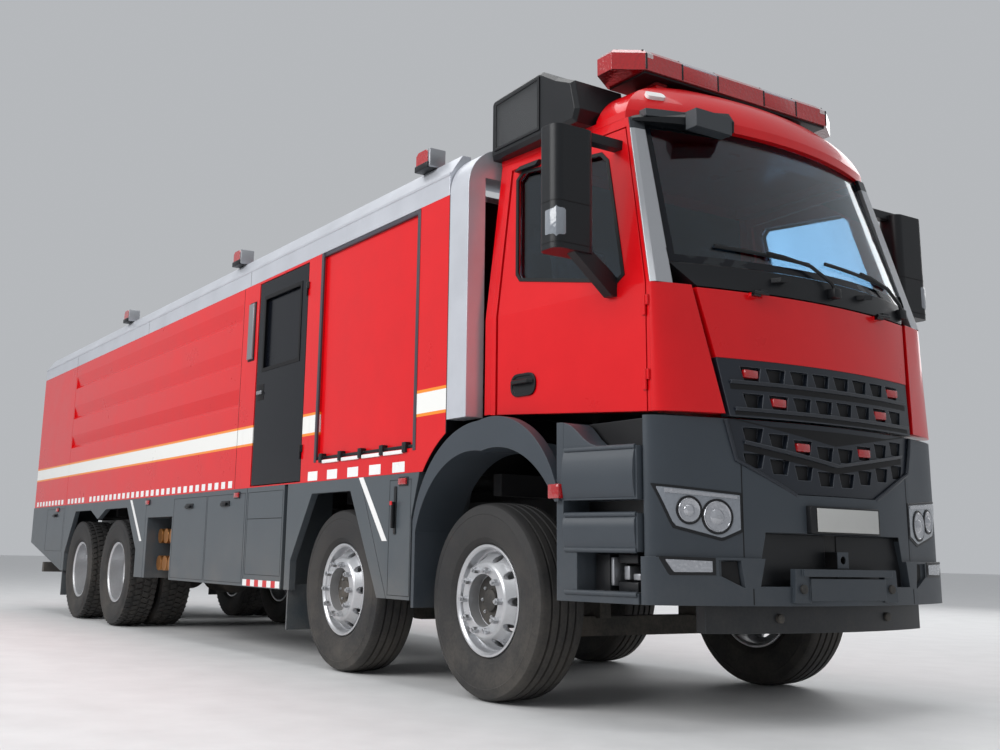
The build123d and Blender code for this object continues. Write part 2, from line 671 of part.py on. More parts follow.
with BuildPart() as headlamps:
    bumper_band(bumper_split, low_z, 32)
    bumper_band(bumper_low + 20, bumper_split, 10)
    with BuildSketch(Plane.YZ.offset(nose - 700)) as lenses:
        Polygon(*lamp_outline(0.5), align=None)
        Polygon(*fog_outline(0.5), align=None)
    extrude(lenses.sketch, amount=750, mode=Mode.INTERSECT)
    mirror(about=Plane.XZ)

with BuildPart() as flap_panel:
    loft([bow(flap_low, flap_mid, flap_mid_half, flap_mid_sag, 35),
          bow(cab_waist - seam, flap_crown, flap_half, flap_sag, 35)])
    for y in (-480, 480):
        flap_barrel(y)
        block((flap_crown - 60, flap_crown), (y - 25, y + 25), (cab_waist - 28, cab_waist - seam))

with BuildPart() as upper_grille:
    loft([bow(cab_bottom - 10, grille_crown, grille_half, grille_sag, 60),
          bow(flap_low, flap_mid - 2, flap_mid_half - 2, flap_mid_sag, 60)])
    scoops(cab_bottom + 205, 0, grille_crown - 20, 80, 715)
    scoops(cab_bottom + 70, 0, grille_crown - 8, 75, 700)

# Steps and front wings
wing_top = cab_bottom - 30
arch_rear = axle_1 - 625.0
arch_front = axle_1 + 720.0
step_front = bumper_rear - 10.0

with BuildPart() as steps_fenders:
    with BuildSketch(Plane.XY.offset(560)) as module:
        Polygon((arch_front, 15 - half_body), (step_front, -bumper_half - 8), (step_front, -900), (arch_front, -900),
                align=None)
    extrude(module.sketch, amount=wing_top - 560)
    block((arch_front + 120, step_front), (-half_body, -1000), (610, 800), Mode.SUBTRACT)
    block((arch_front + 40, step_front), (-half_body, -1060), (980, 1045), Mode.SUBTRACT)
    block((arch_front + 40, step_front), (-half_body, -1060), (1300, wing_top), Mode.SUBTRACT)
    with BuildSketch(Plane.XZ.offset(half_body - 60)) as face:
        with BuildLine():
            Line((arch_rear - 30, 460), (arch_rear - 30, 960))
            ThreePointArc((arch_rear - 30, 960), (axle_1 - 430, 1330), (axle_1 + 30, wing_top + 70))
            ThreePointArc((axle_1 + 30, wing_top + 70), (axle_1 + 530, 1390), (arch_front + 34, 1040))
            Line((arch_front + 34, 1040), (arch_front, 1040))
            ThreePointArc((arch_front, 1040), (axle_1 + 500, 1260), (axle_1 + 60, 1335))
            ThreePointArc((axle_1 + 60, 1335), (axle_1 - 390, 1230), (arch_rear, 900))
            Polyline((arch_rear, 900), (arch_rear, 460), (arch_rear - 30, 460))
        make_face()
    extrude(face.sketch, amount=60)
    with BuildSketch(Plane.XZ.offset(940)) as liner:
        with BuildLine():
            Line((arch_rear - 30, 460), (arch_rear - 30, 940))
            ThreePointArc((arch_rear - 30, 940), (axle_1 - 420, 1270), (axle_1 + 60, 1375))
            ThreePointArc((axle_1 + 60, 1375), (axle_1 + 530, 1290), (arch_front + 40, 1040))
            Line((arch_front + 40, 1040), (arch_front, 1040))
            ThreePointArc((arch_front, 1040), (axle_1 + 500, 1260), (axle_1 + 60, 1335))
            ThreePointArc((axle_1 + 60, 1335), (axle_1 - 390, 1230), (arch_rear, 900))
            Polyline((arch_rear, 900), (arch_rear, 460), (arch_rear - 30, 460))
        make_face()
    extrude(liner.sketch, amount=half_body - 60 - 940)
    block((rail_front - 100, rail_front - 20), (-900, -half_frame), (frame_bottom + 40, frame_bottom + 140))
    mirror(about=Plane.XZ)

# Body modules
ladder_y = half_body - 320.0
ladder_width = 400.0
ladder_low = body_floor + 60.0
ladder_high = body_top - 40.0
rear_door = (-half_body + 250.0, half_body - 700.0)
rear_door_z = (body_floor + 120.0, body_top - 170.0)
rear_lamp = (half_body - 90.0, body_floor + 40.0)
shutter = (axle_2 - 300.0, axle_1 - 670.0)
shutter_low = body_floor + 150

with BuildPart() as roof_rails:
    with BuildSketch(Plane.YZ.offset(hoop_rear)) as portal:
        with Locations((0, (rail_top + 1540) / 2)):
            Rectangle(body_width, rail_top - 1540)
        fillet(portal.vertices().group_by(Axis.Y)[-1], 260)
        with Locations((0, (body_top + 1540) / 2)):
            Rectangle(body_width - 240, body_top - 1540 + 150, mode=Mode.SUBTRACT)
    extrude(portal.sketch, amount=hoop_front - hoop_rear)
    for side in (-1, 1):
        front_plate([(side * half_body, body_top), (side * half_body, body_top + 122),
                     (side * (half_body + 8), body_top + 126), (side * (half_body + 8), body_top + 140),
                     (side * (half_body - 8), body_top + 146), (side * (half_body - 90), rail_top),
                     (side * (half_body - 150), rail_top), (side * (half_body - 150), body_top)],
                    rear_x + 60, hoop_rear - seam)
    for step in range(6):
        with Locations((rear_x + 34, ladder_y, ladder_low + 130 + step * (ladder_high - ladder_low - 260) / 5)):
            Cylinder(16, ladder_width, rotation=(90, 0, 0))

with BuildPart() as front_body:
    block((locker_rear, hoop_rear), (-half_body, half_body), (body_floor, body_top))
    with BuildSketch(Plane.XZ) as wheel_cut:
        with BuildLine():
            Line((arch_rear - 60, 460), (arch_rear - 60, 970))
            ThreePointArc((arch_rear - 60, 970), (axle_1 - 450, 1365), (axle_1 + 30, wing_top + 110))
            Line((axle_1 + 30, wing_top + 110), (axle_1 + 30, 460))
            Line((axle_1 + 30, 460), (arch_rear - 60, 460))
        make_face()
    extrude(wheel_cut.sketch, amount=half_body + 10, both=True, mode=Mode.SUBTRACT)
    for side in (-1, 1):
        low = min(side * half_body, side * (half_body - 60))
        block(shutter, (low, low + 60), (shutter_low, body_top), Mode.SUBTRACT)

with BuildPart() as roller_shutters:
    block((shutter[0] + 3, shutter[1] - 3), (25 - half_body, 60 - half_body), (shutter_low + 3, body_top - 3))
    mirror(about=Plane.XZ)
    block((rear_x + 25, rear_x + 60), (rear_door[0] + 3, rear_door[1] - 3), (rear_door_z[0] + 3, rear_door_z[1] - 3))

pump_door = (pump_rear + 200.0, locker_rear - 110.0)
pump_hinges = (body_floor + 200.0, body_top - 250.0)

with BuildPart() as pump_cabin:
    block((pump_rear, locker_rear), (-half_body, half_body), (body_floor, body_top))
    block((pump_rear + 60, locker_rear - 60), (60 - half_body, half_body - 60), (body_floor + 60, body_top - 60),
          Mode.SUBTRACT)
    block(pump_door, (-half_body - 10, half_body + 10), (body_floor + 10, body_top - 20), Mode.SUBTRACT)
    block((pump_rear + 60, locker_rear - 60), (60 - half_body, half_body - 60), (body_floor, body_floor + 60))
    for side in (-1, 1):
        for z in pump_hinges:
            hinge_leaf(pump_door[1] - seam / 2, side * (half_body + 10), side, z + 50 + running, 1, side * half_body)

swages = [body_floor + share * (body_top - body_floor) for share in (0.42, 0.63, 0.85)]

with BuildPart() as tank_body:
    block((tank_rear, pump_rear), (-half_body, half_body), (body_floor, body_top))
    for side in (-1, 1):
        skin = side * (half_body + 1)
        for z in swages:
            front_plate([(skin, z + 125), (skin - side * 27, z), (skin, z - 34)], tank_rear + 30, pump_rear - 130,
                        Mode.SUBTRACT)
        block((tank_rear - 1, tank_rear + 8), (min(skin, skin - side * 13), max(skin, skin - side * 13)),
              (body_floor - 1, body_top + 1), Mode.SUBTRACT)

with BuildPart() as rear_body:
    block((rear_x, tank_rear), (-half_body, half_body), (body_floor, body_top))
    fillet(rear_body.edges().filter_by(Axis.Z).group_by(Axis.X)[0], 60)
    block((rear_x - 1, rear_x + 60), rear_door, rear_door_z, Mode.SUBTRACT)
    block((rear_x - 1, rear_x + 70), (ladder_y - ladder_width / 2, ladder_y + ladder_width / 2),
          (ladder_low, ladder_high), Mode.SUBTRACT)
    for side in (-1, 1):
        low = min(side * rear_lamp[0], side * (rear_lamp[0] - 260))
        block((rear_x - 1, rear_x + 20), (low, low + 260), (rear_lamp[1], rear_lamp[1] + 70), Mode.SUBTRACT)

monitor_x = (pump_rear + locker_rear) / 2
deck_top = body_top + 40
monitor_z = deck_top + 60

with BuildPart() as roof_deck:
    block((rear_x + 60, hoop_rear - seam), (150 - half_body, half_body - 150), (body_top, deck_top))
    with Locations((monitor_x, 0, (deck_top + monitor_z) / 2)):
        Cylinder(160, monitor_z - deck_top)
    for x in (pump_rear - 900, axle_3, axle_4 - 100):
        with Locations((x, 0, body_top + 75)):
            Cylinder(290, 70)

with BuildPart() as monitor_turntable:
    pivot_z = monitor_z + 265
    with Locations((monitor_x, 0, monitor_z + 60 + running)):
        Cylinder(130, 120)
    for side in (-1, 1):
        low = min(side * 75, side * 115)
        block((monitor_x - 60, monitor_x + 60), (low, low + 40), (monitor_z + 100, monitor_z + 330))
    with Locations((monitor_x, 0, pivot_z)):
        Cylinder(24 + running, 300, rotation=(90, 0, 0), mode=Mode.SUBTRACT)

with BuildPart() as monitor_barrel:
    with Locations((monitor_x, 0, pivot_z)):
        Cylinder(24, 220, rotation=(90, 0, 0))
    with BuildSketch(Plane.YZ.offset(monitor_x - 110)) as breech:
        with Locations((0, pivot_z)):
            Circle(68)
    with BuildSketch(Plane.YZ.offset(monitor_x + 700)) as muzzle:
        with Locations((0, pivot_z)):
            Circle(42)
    loft([breech.sketch, muzzle.sketch])

with BuildPart() as marker_lamps:
    for x in (axle_1 - 700, pump_rear - 430, axle_3 - 300):
        block((x - 60, x + 60), (-half_body + 95, -half_body + 145), (rail_top, rail_top + 40))
        side_plate([(x - 70, rail_top + 40), (x - 70, rail_top + 110), (x - 45, rail_top + 130),
                    (x + 45, rail_top + 130), (x + 70, rail_top + 110), (x + 70, rail_top + 40)],
                   half_body - 150, half_body - 30)
    block((rear_x + 2, rear_x + 20), (0.5 - rear_lamp[0], 259.5 - rear_lamp[0]),
          (rear_lamp[1] + 0.5, rear_lamp[1] + 69.5))
    mirror(about=Plane.XZ)

# Lower side panels
bay_locker = (axle_3 + 950.0, pump_rear + 150.0)
bay_rear = bay_locker[0] + 60
bay_front = bay_rear + max(0.2816 * (bay_locker[1] - bay_locker[0]), 180.0)
coupling_count = max(1, int((bay_front - bay_rear) // 170))
coupling_pitch = (bay_front - bay_rear - 60) / coupling_count

with BuildPart() as side_lockers:
    side_plate([(arch_rear - 50, skirt_bottom), (arch_rear - 50, 985), (axle_1 - 590, body_floor),
                (axle_2 + 370, body_floor), (axle_2 + 750, skirt_bottom)], half_body - locker_depth, half_body)
    block((pump_rear + 160, locker_rear - 370), (-half_body, locker_depth - half_body), (skirt_bottom, body_floor))
    block(bay_locker, (-half_body, locker_depth - half_body), (skirt_bottom, body_floor))
    block((bay_rear, bay_front), (-half_body, -1000), (skirt_bottom, 1060), Mode.SUBTRACT)
    side_plate([(tank_rear - 20, skirt_bottom), (tank_rear - 20, body_floor), (rear_x + 20, body_floor),
                (rear_x + 20, 820)], half_body - locker_depth, half_body)
    mirror(about=Plane.XZ)

with BuildPart() as arch_panels:
    side_plate([(axle_2 - 740, skirt_bottom), (axle_2 - 740, body_floor), (axle_2 + 362, body_floor),
                (axle_2 + 742, skirt_bottom), (axle_2 + 630, skirt_bottom), (axle_2 + 235, 1170),
                (axle_2 - 340, 1170), (axle_2 - 650, 710), (axle_2 - 650, skirt_bottom)], half_body - 50, half_body)
    side_plate([(axle_3 + 942, skirt_bottom), (axle_3 + 942, body_floor), (tank_rear - 12, body_floor),
                (tank_rear - 12, skirt_bottom), (axle_4 - 590, skirt_bottom), (axle_4 - 590, 700),
                (axle_4 - 230, 1170), (axle_4 + 390, 1170), ((axle_3 + axle_4) / 2, 1070), (axle_3 - 390, 1170),
                (axle_3 + 340, 1170), (axle_3 + 700, 760), (axle_3 + 700, skirt_bottom)], half_body - 50, half_body)
    block((axle_2 - 700, axle_2 - 686), (10 - half_body, 370 - half_body), (225, skirt_bottom + 40))
    block((axle_4 - 650, axle_4 - 636), (10 - half_body, 680 - half_body), (225, skirt_bottom + 40))
    mirror(about=Plane.XZ)

with BuildPart() as hose_couplings:
    for column in range(coupling_count):
        x = bay_rear + 30 + (column + 0.5) * coupling_pitch
        for z in (640, 890):
            with BuildSketch(Plane.XZ.offset(1000)) as root:
                with Locations((x, z)):
                    Circle(52)
            extrude(root.sketch, amount=60)
            with BuildSketch(Plane.XZ.offset(1060)) as cap:
                with Locations((x, z)):
                    Circle(68)
            extrude(cap.sketch, amount=90)
    mirror(about=Plane.XZ)


# Doors
def cab_door(name, side):
    """Cab door with its window cut."""
    with BuildPart() as door:
        cab_wall(cab_back, cab_front + 40, side, 0, side_wall)
        with BuildSketch(Plane.XZ) as outline:
            Polygon(*door_outline(-door_gap, 0, 0, 0), align=None)
        extrude(outline.sketch, amount=half_cab + 50, both=True, mode=Mode.INTERSECT)
        with BuildSketch(Plane.XZ) as opening:
            Polygon(*window_outline(0), align=None)
        extrude(opening.sketch, amount=half_cab + 50, both=True, mode=Mode.SUBTRACT)
        skin = side * cab_half(door_front)
        for z in cab_hinges:
            hinge_leaf(door_front + seam / 2, skin + side * 10, side, z, -1, skin)
    door.part.label = name
    return door.part


def cab_window(name, side):
    """Pane in the cab door's window."""
    with BuildPart() as pane:
        cab_wall(cab_back, cab_front + 40, side, 22, 36)
        with BuildSketch(Plane.XZ) as outline:
            Polygon(*window_outline(0.5), align=None)
        extrude(outline.sketch, amount=half_cab + 50, both=True, mode=Mode.INTERSECT)
    pane.part.label = name
    return pane.part


def door_mirror(name, side):
    """Tall door mirror with its two arms, which end on the door's skin."""
    x_mid = door_front - 250
    half = cab_half(x_mid)
    reach = half + 270
    arm_top = cab_eaves - 130
    with BuildPart() as glass:
        with BuildSketch(Plane.XY.offset(cab_waist + 155)) as head:
            with Locations((x_mid, side * reach)):
                RectangleRounded(150, 260, 50)
        extrude(head.sketch, amount=arm_top - 20 - cab_waist - 155)
        low_arm = [(half - 60, cab_waist - 40), (half + 30, cab_waist - 40), (reach, cab_waist + 155),
                   (reach, cab_waist + 200), (reach - 80, cab_waist + 200), (half - 60, cab_waist + 20)]
        high_arm = [(half - 160, arm_top - 50), (reach, arm_top - 50), (reach, arm_top), (half - 160, arm_top)]
        front_plate([(side * y, z) for y, z in low_arm], x_mid, x_mid + 60)
        front_plate([(side * y, z) for y, z in high_arm], x_mid - 45, x_mid + 15)
        cab_wall(x_mid - 200, x_mid + 200, side, 0, 500, Mode.SUBTRACT)
    glass.part.label = name
    return glass.part


def pump_room_door(name, side):
    """Pump room door and the pane in its window."""
    with BuildPart() as door:
        x = (pump_door[0] + door_gap, pump_door[1] - seam)
        low = min(side * half_body, side * (half_body - 50))
        block(x, (low, low + 50), (body_floor + 18, body_top - 28))
        window = (pump_door[0] + 130, pump_door[1] - 120)
        block(window, (low, low + 50), (body_floor + 920, body_top - 160), Mode.SUBTRACT)
        pane = side * (half_body - 30)
        block((window[0] + 0.5, window[1] - 0.5), (pane - 6, pane + 6), (body_floor + 920.5, body_top - 160.5))
        for z in pump_hinges:
            hinge_leaf(pump_door[1] - seam / 2, side * (half_body + 10), side, z, -1, side * half_body)
    door.part.label = name
    return door.part


chassis_parts = {
    "chassis_frame": chassis_frame, "frame_members": frame_members, "axle_beams": axle_beams,
    "driveline": driveline, "cab_tub": cab_tub,
    "cab_side_frames": cab_side_frames, "cab_roof": cab_roof, "windscreen": windscreen, "cab_trim": cab_trim,
    "dashboard": dashboard, "seats": seats, "light_bar": light_bar, "bumper": bumper,
    "lower_grille": lower_grille, "headlamps": headlamps, "flap_panel": flap_panel,
    "upper_grille": upper_grille, "steps_fenders": steps_fenders, "roof_rails": roof_rails,
    "front_body": front_body, "roller_shutters": roller_shutters, "pump_cabin": pump_cabin,
    "tank_body": tank_body, "rear_body": rear_body, "roof_deck": roof_deck,
    "monitor_turntable": monitor_turntable, "monitor_barrel": monitor_barrel, "marker_lamps": marker_lamps,
    "side_lockers": side_lockers, "arch_panels": arch_panels, "hose_couplings": hose_couplings,
}

finished = []
for name, built in chassis_parts.items():
    built.part.label = name
    finished.append(built.part)
for word, side in (("right", -1), ("left", 1)):
    finished.append(cab_door("cab_door_" + word, side))
    finished.append(cab_window("cab_window_" + word, side))
    finished.append(door_mirror("mirror_" + word, side))
    finished.append(pump_room_door("pump_door_" + word, side))
    for number, x in ((1, axle_1), (2, axle_2)):
        finished.append(knuckle(f"knuckle_{number}_{word}", x, side))
        finished.append(steer_tyre(f"tyre_{number}_{word}", x, side))
        finished.append(steer_rim(f"rim_{number}_{word}", x, side))
    for number, x in ((3, axle_3), (4, axle_4)):
        finished.append(twin_tyres(f"tyres_{number}_{word}", x, side))
        finished.append(twin_rims(f"rims_{number}_{word}", x, side))

os.makedirs("parts", exist_ok=True)
for piece in finished:
    export_step(piece, f"parts/{piece.label}.step")
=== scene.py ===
"""Looks of the airport fire truck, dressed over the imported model.

Metres. X points forward, Y to the vehicle's left, Z up, and the ground is at Z = 0.
"""

import logging
import math
from dataclasses import dataclass, replace
from enum import Enum
from typing import Iterable, Mapping, Sequence

import bmesh
import bpy
from mathutils import Matrix, Vector


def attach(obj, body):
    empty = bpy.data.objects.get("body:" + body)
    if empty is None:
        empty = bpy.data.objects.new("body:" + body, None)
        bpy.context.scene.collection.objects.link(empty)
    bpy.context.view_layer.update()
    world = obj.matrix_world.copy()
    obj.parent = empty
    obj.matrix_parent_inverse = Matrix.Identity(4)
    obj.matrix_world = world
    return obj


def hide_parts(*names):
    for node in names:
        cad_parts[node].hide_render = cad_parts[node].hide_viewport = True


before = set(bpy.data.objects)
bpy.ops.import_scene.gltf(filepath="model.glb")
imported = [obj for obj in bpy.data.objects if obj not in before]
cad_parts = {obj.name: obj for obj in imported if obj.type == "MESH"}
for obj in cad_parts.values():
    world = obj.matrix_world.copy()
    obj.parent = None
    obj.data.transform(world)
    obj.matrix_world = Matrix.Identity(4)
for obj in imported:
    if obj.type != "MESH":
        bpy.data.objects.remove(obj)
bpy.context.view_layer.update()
LOG = logging.getLogger("fire_truck")

Point = tuple[float, float, float]
Flat = tuple[float, float]
Colour = tuple[float, float, float]
Socket = bpy.types.NodeSocket
Mesh = bpy.types.Mesh
Piece = bpy.types.Object

FLOAT, VECTOR = "NodeSocketFloat", "NodeSocketVector"
SOCKET_KINDS = {float: FLOAT, int: "NodeSocketInt", tuple: VECTOR, type(None): "NodeSocketMaterial"}
FAR = 9.0
DUST = (0.24, 0.21, 0.175)
TONES = (0.86, 1.1)
COAT_ROUGHNESS = 0.06
SLAT_PITCH = 0.042
TUBE_REFERENCE = Vector((0.31, 0.42, 0.85))
FACE_FORWARD = Matrix.Rotation(-math.pi / 2, 4, "Z")


class Side(Enum):
    """The two sides of the vehicle, with the sign of their Y."""

    RIGHT = -1
    LEFT = 1

    @property
    def word(self) -> str:
        """Name of the side as the nodes use it."""
        return self.name.lower()

    def tag(self, name: str) -> str:
        """Adds the side to a piece's name."""
        return f"{name}_{self.word}"

    def out(self, by: float) -> Point:
        """Gives a step outboard."""
        return 0.0, self.value * by, 0.0


class Relief(Enum):
    """Fine relief that a finish carries."""

    PEEL = "paint skin"
    MOULDED = "moulded grain"
    BRUSHED = "brushed along X"
    TREAD = "raised tread plate"
    FACETS = "lens facets"
    SLATS = "shutter slats"
    CAST = "cast skin"
    WEAVE = "woven cloth"


class Graph:
    """Short calls for filling a node tree."""

    def __init__(self, tree: bpy.types.NodeTree) -> None:
        """Keeps the tree that the calls fill."""
        self.tree = tree

    def add(self, kind: str, inputs: Mapping[str | int, object] | None = None, **settings: object
            ) -> bpy.types.Node:
        """Adds a node.

        Args:
            kind: The node's type name.
            inputs: Sockets or plain values for its inputs, by name or number.
            settings: Attributes to set on the node.

        Returns:
            The new node.
        """
        node = self.tree.nodes.new(kind)
        for name, value in settings.items():
            setattr(node, name, value)
        for key, value in (inputs or {}).items():
            self.put(node.inputs[key], value)
        return node

    def put(self, socket: Socket, value: object) -> None:
        """Links a socket to another, or sets its value.

        Args:
            socket: The input socket.
            value: An output socket, or a plain value.
        """
        if isinstance(value, Socket):
            self.tree.links.new(value, socket)
        else:
            socket.default_value = value

    def math(self, operation: str, *values: object, clamp: bool = False) -> Socket:
        """Adds a Math node of sockets or numbers and gives its result, kept from 0 to 1 by clamp."""
        return self.add("ShaderNodeMath", dict(enumerate(values)), operation=operation, use_clamp=clamp).outputs[0]

    def mix(self, factor: object, first: object, second: object) -> Socket:
        """Mixes two colours by a factor, each a socket or a value."""
        one, two = ((*value, 1.0) if isinstance(value, tuple) else value for value in (first, second))
        return self.add("ShaderNodeMix", {0: factor, 6: one, 7: two}, data_type="RGBA").outputs[2]

    def noise(self, vector: object, scale: object, detail: float = 3.0, rough: float = 0.55) -> Socket:
        """Adds a noise texture, with its scale per metre, its octaves and the weight of the finer ones."""
        return self.add("ShaderNodeTexNoise", {
            "Vector": vector, "Scale": scale, "Detail": detail, "Roughness": rough}).outputs[0]

    def ramp(self, value: object, low: object, high: object) -> Socket:
        """Smooth step of a value, from 0 at low to 1 at high."""
        return self.add("ShaderNodeMapRange", {"Value": value, "From Min": low, "From Max": high},
                        interpolation_type="SMOOTHSTEP").outputs[0]

    def place(self) -> Socket:
        """Gives the object coordinates."""
        return self.add("ShaderNodeTexCoord").outputs["Object"]

    def axes(self, vector: Socket) -> bpy.types.NodeOutputs:
        """Splits a vector into X, Y and Z."""
        return self.add("ShaderNodeSeparateXYZ", {0: vector}).outputs

    def copies(self, points: bpy.types.Node, instance: bpy.types.Node, **more: object) -> bpy.types.Node:
        """Sets copies of one node's geometry on another's points."""
        return self.add("GeometryNodeInstanceOnPoints", {
            "Points": points.outputs[0], "Instance": instance.outputs[0], **more})


def new_tree(name: str, kind: str, inputs: Mapping[str, object], outputs: Mapping[str, str]
             ) -> tuple[Graph, bpy.types.Node, bpy.types.Node]:
    """Opens an empty node tree with named inputs and outputs.

    Args:
        name: The tree's name.
        kind: Its type name.
        inputs: Default value of each input, None for a material.
        outputs: Socket type of each output.

    Returns:
        The tree's graph, its input node and its output node.
    """
    tree = bpy.data.node_groups.new(name, kind)
    for label, value in inputs.items():
        socket = tree.interface.new_socket(name=label, in_out="INPUT", socket_type=SOCKET_KINDS[type(value)])
        if value is not None:
            socket.default_value = value
    for label, socket_kind in outputs.items():
        tree.interface.new_socket(name=label, in_out="OUTPUT", socket_type=socket_kind)
    graph = Graph(tree)
    return graph, graph.add("NodeGroupInput"), graph.add("NodeGroupOutput")


class ShaderGroups:
    """Shader effects that several finishes share, each built once."""

    def __init__(self) -> None:
        """Builds the groups."""
        self.grime, self.edge, self.zone = self._grime(), self._edge(), self._zone()

    @staticmethod
    def _grime() -> bpy.types.NodeTree:
        """Builds the mask of road dust and the slow mottling of a surface."""
        graph, start, end = new_tree(
            "road_grime", "ShaderNodeTree", {"Top": 1.2, "Scale": 3.0}, {"Dust": FLOAT, "Mottle": FLOAT})
        place = graph.place()
        low = graph.ramp(graph.axes(place)["Z"], start.outputs["Top"], 0.1)
        patch = graph.noise(place, start.outputs["Scale"], 6.0, 0.6)
        speck = graph.noise(place, 60.0, 3.0, 0.7)
        broken = graph.ramp(graph.math("ADD", patch, graph.math("MULTIPLY", speck, 0.35)), 0.45, 0.95)
        graph.put(end.inputs["Dust"], graph.math("MULTIPLY", low, broken, clamp=True))
        graph.put(end.inputs["Mottle"], patch)
        return graph.tree

    @staticmethod
    def _edge() -> bpy.types.NodeTree:
        """Builds the soft normal of rounded edges and the mask of where they are, which places edge wear and painted
        highlights.
        """
        graph, start, end = new_tree(
            "soft_edges", "ShaderNodeTree", {"Radius": 0.006}, {"Edge": FLOAT, "Normal": VECTOR})
        soft = graph.add("ShaderNodeBevel", {"Radius": start.outputs["Radius"]}, samples=4).outputs["Normal"]
        flat = graph.add("ShaderNodeNewGeometry").outputs["Normal"]
        turn = graph.add("ShaderNodeVectorMath", {0: soft, 1: flat}, operation="DOT_PRODUCT").outputs["Value"]
        graph.put(end.inputs["Edge"], graph.ramp(graph.math("SUBTRACT", 1.0, turn), 0.03, 0.25))
        graph.put(end.inputs["Normal"], soft)
        return graph.tree

    @staticmethod
    def _zone() -> bpy.types.NodeTree:
        """Builds the mask of a box, the same on both sides of the centre line."""
        graph, start, end = new_tree(
            "box_zone", "ShaderNodeTree", {"Low": (0.0, 0.0, 0.0), "High": (1.0, 1.0, 1.0)}, {"Mask": FLOAT})
        spot, low, high = (
            graph.axes(socket) for socket in (graph.place(), start.outputs["Low"], start.outputs["High"]))
        mask: object = 1.0
        for axis in "XYZ":
            value = graph.math("ABSOLUTE", spot[axis]) if axis == "Y" else spot[axis]
            for test, limit in (("GREATER_THAN", low), ("LESS_THAN", high)):
                mask = graph.math("MULTIPLY", mask, graph.math(test, value, limit[axis]))
        graph.put(end.inputs["Mask"], mask)
        return graph.tree


GROUPS = ShaderGroups()


@dataclass(frozen=True)
class Zone:
    """A box, the same on both sides, in which a finish has another colour."""

    colour: Colour
    z: Flat
    x: Flat = (-FAR, FAR)
    y: Flat = (-FAR, FAR)
    metallic: float = 0.0


